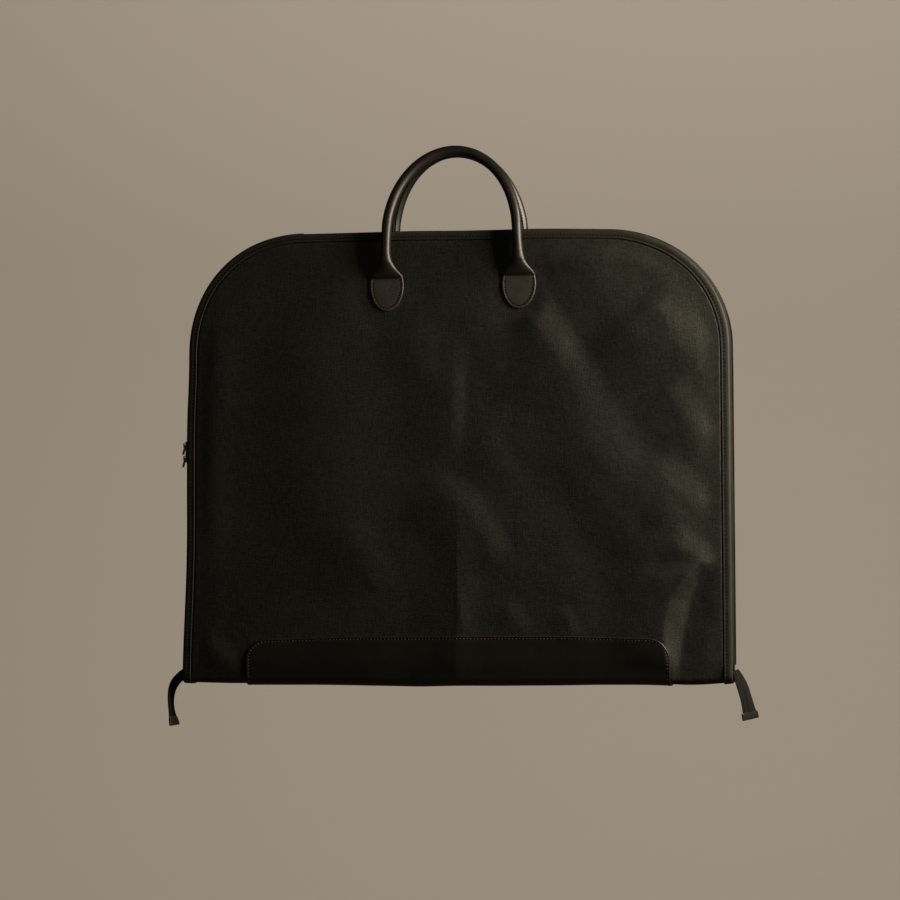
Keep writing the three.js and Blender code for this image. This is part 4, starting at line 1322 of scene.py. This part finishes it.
def pocket_stitching():
    depth = 10.42
    stitches = [((x, depth, z), (1, 0, 0)) for z in (POCKET_LOW + 3, POCKET_TOP - 3)
                for x in np.arange(-184, 184.1, 3.6)]
    stitches += [((x, depth, z), (0, 0, 1)) for z in np.arange(196, 393, 3.6)
                 for x in (3 - POCKET_HALF_WIDTH, POCKET_HALF_WIDTH - 3)]
    centres, ways = zip(*stitches)
    fit(mesh("pocket_stitching", threads(centres, ways, (0, -1, 0), 2.4, 0.26), THREAD,
             sharp=0), "back_half")


def pocket_zip():
    x, z = np.meshgrid(steps(-185, 185, 3.0), steps(399, 417, 0.5))
    solid = slab(np.stack([x, 10.45 + 0.06 * np.cos(2 * PI * z / 1.4), z], -1),
                 np.stack([x, 11.1 + 0 * x, z], -1))
    fit(mesh("pocket_zip_cloth", solid, TAPE), "back_half", "pocket_zip_tape")


def pocket_teeth():
    """Teeth that reach in turn from below and from above."""
    teeth = []
    for k, x in enumerate(np.arange(-182, 182, 1.9)):
        up = 1 if k % 2 else -1
        # place along the tooth, half width and Y
        for along, wide, y in ((-2.0, 0.5, 10.28), (-0.4, 0.6, 10.12), (1.2, 0.75, 10.12),
                               (1.9, 0.4, 10.3)):
            z = POCKET_ZIP_Z - up * 0.6 + up * along * 0.9
            section = ((-wide, 0), (-wide * 0.6, -0.06), (wide * 0.6, -0.06), (wide, 0),
                       (wide, 0.3), (-wide, 0.3))
            teeth.append([(x + dx, y + dy, z) for dx, dy in section])
    solid = tubes(np.array(teeth).reshape(-1, 4, 6, 3))
    fit(mesh("pocket_zip_teeth", solid, COIL, sharp=50), "back_half")


pocket_panel()
pocket_stitching()
pocket_zip()
pocket_teeth()

# ------------------------------------------------------------------ hard pieces
# They keep their CAD shape, with softened edges: material, bevel width and nodes.
HARD = [
    (BOARD, 0.3, ["front_handle_board", "back_handle_board"]),
    (PLASTIC, 0.5, ["front_buckle_female", "back_buckle_female"]),
    (PLASTIC, 0.45, ["front_buckle_male", "back_buckle_male"]),
    (GUN, 0.22, ["slider_upper", "slider_lower"]),
    (GUN, 0.2, ["pull_upper", "pull_lower"]),
    (GUN, 0.22, ["pocket_slider"]),
    (GUN, 0.2, ["pocket_pull"]),
]


def dress(piece, finish):
    piece.data.materials.clear()
    piece.data.materials.append(finish)


hard_nodes = set()
for hard_finish, bevel_width, node_names in HARD:
    for node_name in node_names:
        hard_nodes.add(node_name)
        dress(NODES[node_name], hard_finish)
        bevel = NODES[node_name].modifiers.new("soft_edges", "BEVEL")
        bevel.width = bevel_width * MM
        bevel.segments = 2
        bevel.limit_method = "ANGLE"
        bevel.angle_limit = math.radians(35)
# any other CAD piece that still shows gets the shell's cloth
for node_name, cad_piece in NODES.items():
    if node_name not in hard_nodes and not cad_piece.hide_render:
        dress(cad_piece, CLOTH)

# ------------------------------------------------------------------ stage, in metres
FLOOR_Z = -0.78


def stage_material():
    """Paint that looks light to the camera but throws little light back on the bag."""
    made, add = new_material("stage_paint")
    seen = add("BsdfDiffuse", {0: (0.62, 0.56, 0.48, 1)})
    dim = add("BsdfDiffuse", {0: (0.10, 0.09, 0.078, 1)})
    mixed = add("MixShader", {0: add("LightPath").outputs["Is Camera Ray"],
                              1: dim.outputs[0], 2: seen.outputs[0]})
    add("OutputMaterial", {0: mixed.outputs[0]})
    return made


def stage():
    """Round floor that curves up into a wall."""
    curve_start, curve_r, wall_top, around = 4.0, 2.0, 5.0, 96
    profile = [(r, FLOOR_Z) for r in (1.5, 3.0, curve_start)]
    profile += [(curve_start + curve_r * math.sin(t), FLOOR_Z + curve_r - curve_r * math.cos(t))
                for t in np.linspace(0.1, PI / 2, 12)]
    profile += [(curve_start + curve_r, wall_top)]
    points = [(0, 0, FLOOR_Z)]
    for r, z in profile:
        points += [(r * math.cos(2 * PI * j / around), r * math.sin(2 * PI * j / around), z)
                   for j in range(around)]
    faces = [[0, 1 + j, 1 + (j + 1) % around] for j in range(around)]
    for i in range(len(profile) - 1):
        low, high = 1 + i * around, 1 + (i + 1) * around
        faces += [[low + j, high + j, high + (j + 1) % around, low + (j + 1) % around]
                  for j in range(around)]
    data = bpy.data.meshes.new("studio")
    data.from_pydata(points, [], faces)
    data.polygons.foreach_set("use_smooth", [True] * len(data.polygons))
    data.materials.append(stage_material())
    studio = bpy.data.objects.new("studio", data)
    bpy.context.scene.collection.objects.link(studio)
    return studio


# ------------------------------------------------------------------ light
def area(name, at, aim, size, power, colour):
    data = bpy.data.lights.new(name, "AREA")
    data.shape = "RECTANGLE"
    data.size, data.size_y = size
    data.energy = power
    data.color = colour
    light = bpy.data.objects.new(name, data)
    bpy.context.scene.collection.objects.link(light)
    light.location = at
    light.rotation_euler = (Vector(aim) - Vector(at)).to_track_quat("-Z", "Y").to_euler()
    light.visible_camera = False
    return light


def lit_only(name, pieces, lights):
    """Let the lights reach only these pieces."""
    group = bpy.data.collections.new(name)
    for piece in pieces:
        group.objects.link(piece)
    for light in lights:
        light.light_linking.receiver_collection = group


def lights(studio):
    area("key", at=(0.92, -0.25, 0.64), aim=(0.05, 0, 0.30), size=(0.32, 0.7), power=15.6,
         colour=(1.0, 0.822, 0.66))
    leather_light = area("leather_light", at=(1.35, -1.25, 0.80), aim=(0.0, 0, 0.45),
                         size=(0.5, 0.9), power=9, colour=(1.0, 0.86, 0.70))
    marks = ("_handle_leather", "_chape_", "_handle_stitching")
    leather = [piece for piece in bpy.data.objects if any(mark in piece.name for mark in marks)]
    lit_only("on_leather", leather, [leather_light])
    area("fill", at=(-1.6, -2.4, 1.4), aim=(0, 0, 0.2), size=(1.4, 1.4), power=1.4,
         colour=(1.0, 0.97, 0.74))
    washes = [area("backdrop_wash", at=(0.0, 2.2, 3.6), aim=(0.0, 5.5, 0.6), size=(3.0, 1.0),
                   power=110, colour=(1.0, 0.93, 0.85)),
              area("floor_wash", at=(0.0, -0.5, 4.6), aim=(0.0, 0.0, FLOOR_Z), size=(4.0, 4.0),
                   power=45, colour=(1.0, 0.96, 0.9))]
    lit_only("only_studio", [studio], washes)
    world = bpy.data.worlds.new("studio_air")
    bpy.context.scene.world = world
    world.use_nodes = True
    background = world.node_tree.nodes["Background"].inputs
    background["Color"].default_value = (1.0, 0.95, 0.78, 1)
    background["Strength"].default_value = 0.026


# ------------------------------------------------------------------ camera
def camera():
    """Low in front of the bag, a little to its right and rolled slightly."""
    azimuth, distance, height = math.radians(10.32), 3.044, 0.0855
    roll_angle = math.radians(-0.25)
    at = Vector((distance * math.sin(azimuth), -distance * math.cos(azimuth), height))
    ahead = (Vector((-0.0068, 0, 0.2562)) - at).normalized()
    level = ahead.cross(Vector((0, 0, 1))).normalized()
    upright = level.cross(ahead)
    right = level * math.cos(roll_angle) + upright * math.sin(roll_angle)
    up = upright * math.cos(roll_angle) - level * math.sin(roll_angle)
    data = bpy.data.cameras.new("camera")
    data.sensor_width = 36.0
    data.lens = 111.8
    made = bpy.data.objects.new("camera", data)
    bpy.context.scene.collection.objects.link(made)
    made.matrix_world = Matrix([(right[k], up[k], -ahead[k], at[k]) for k in range(3)]
                               + [(0, 0, 0, 1)])
    bpy.context.scene.camera = made


lights(stage())
camera()
bpy.context.scene.view_settings.view_transform = "Standard"
bpy.context.scene.view_settings.look = "None"
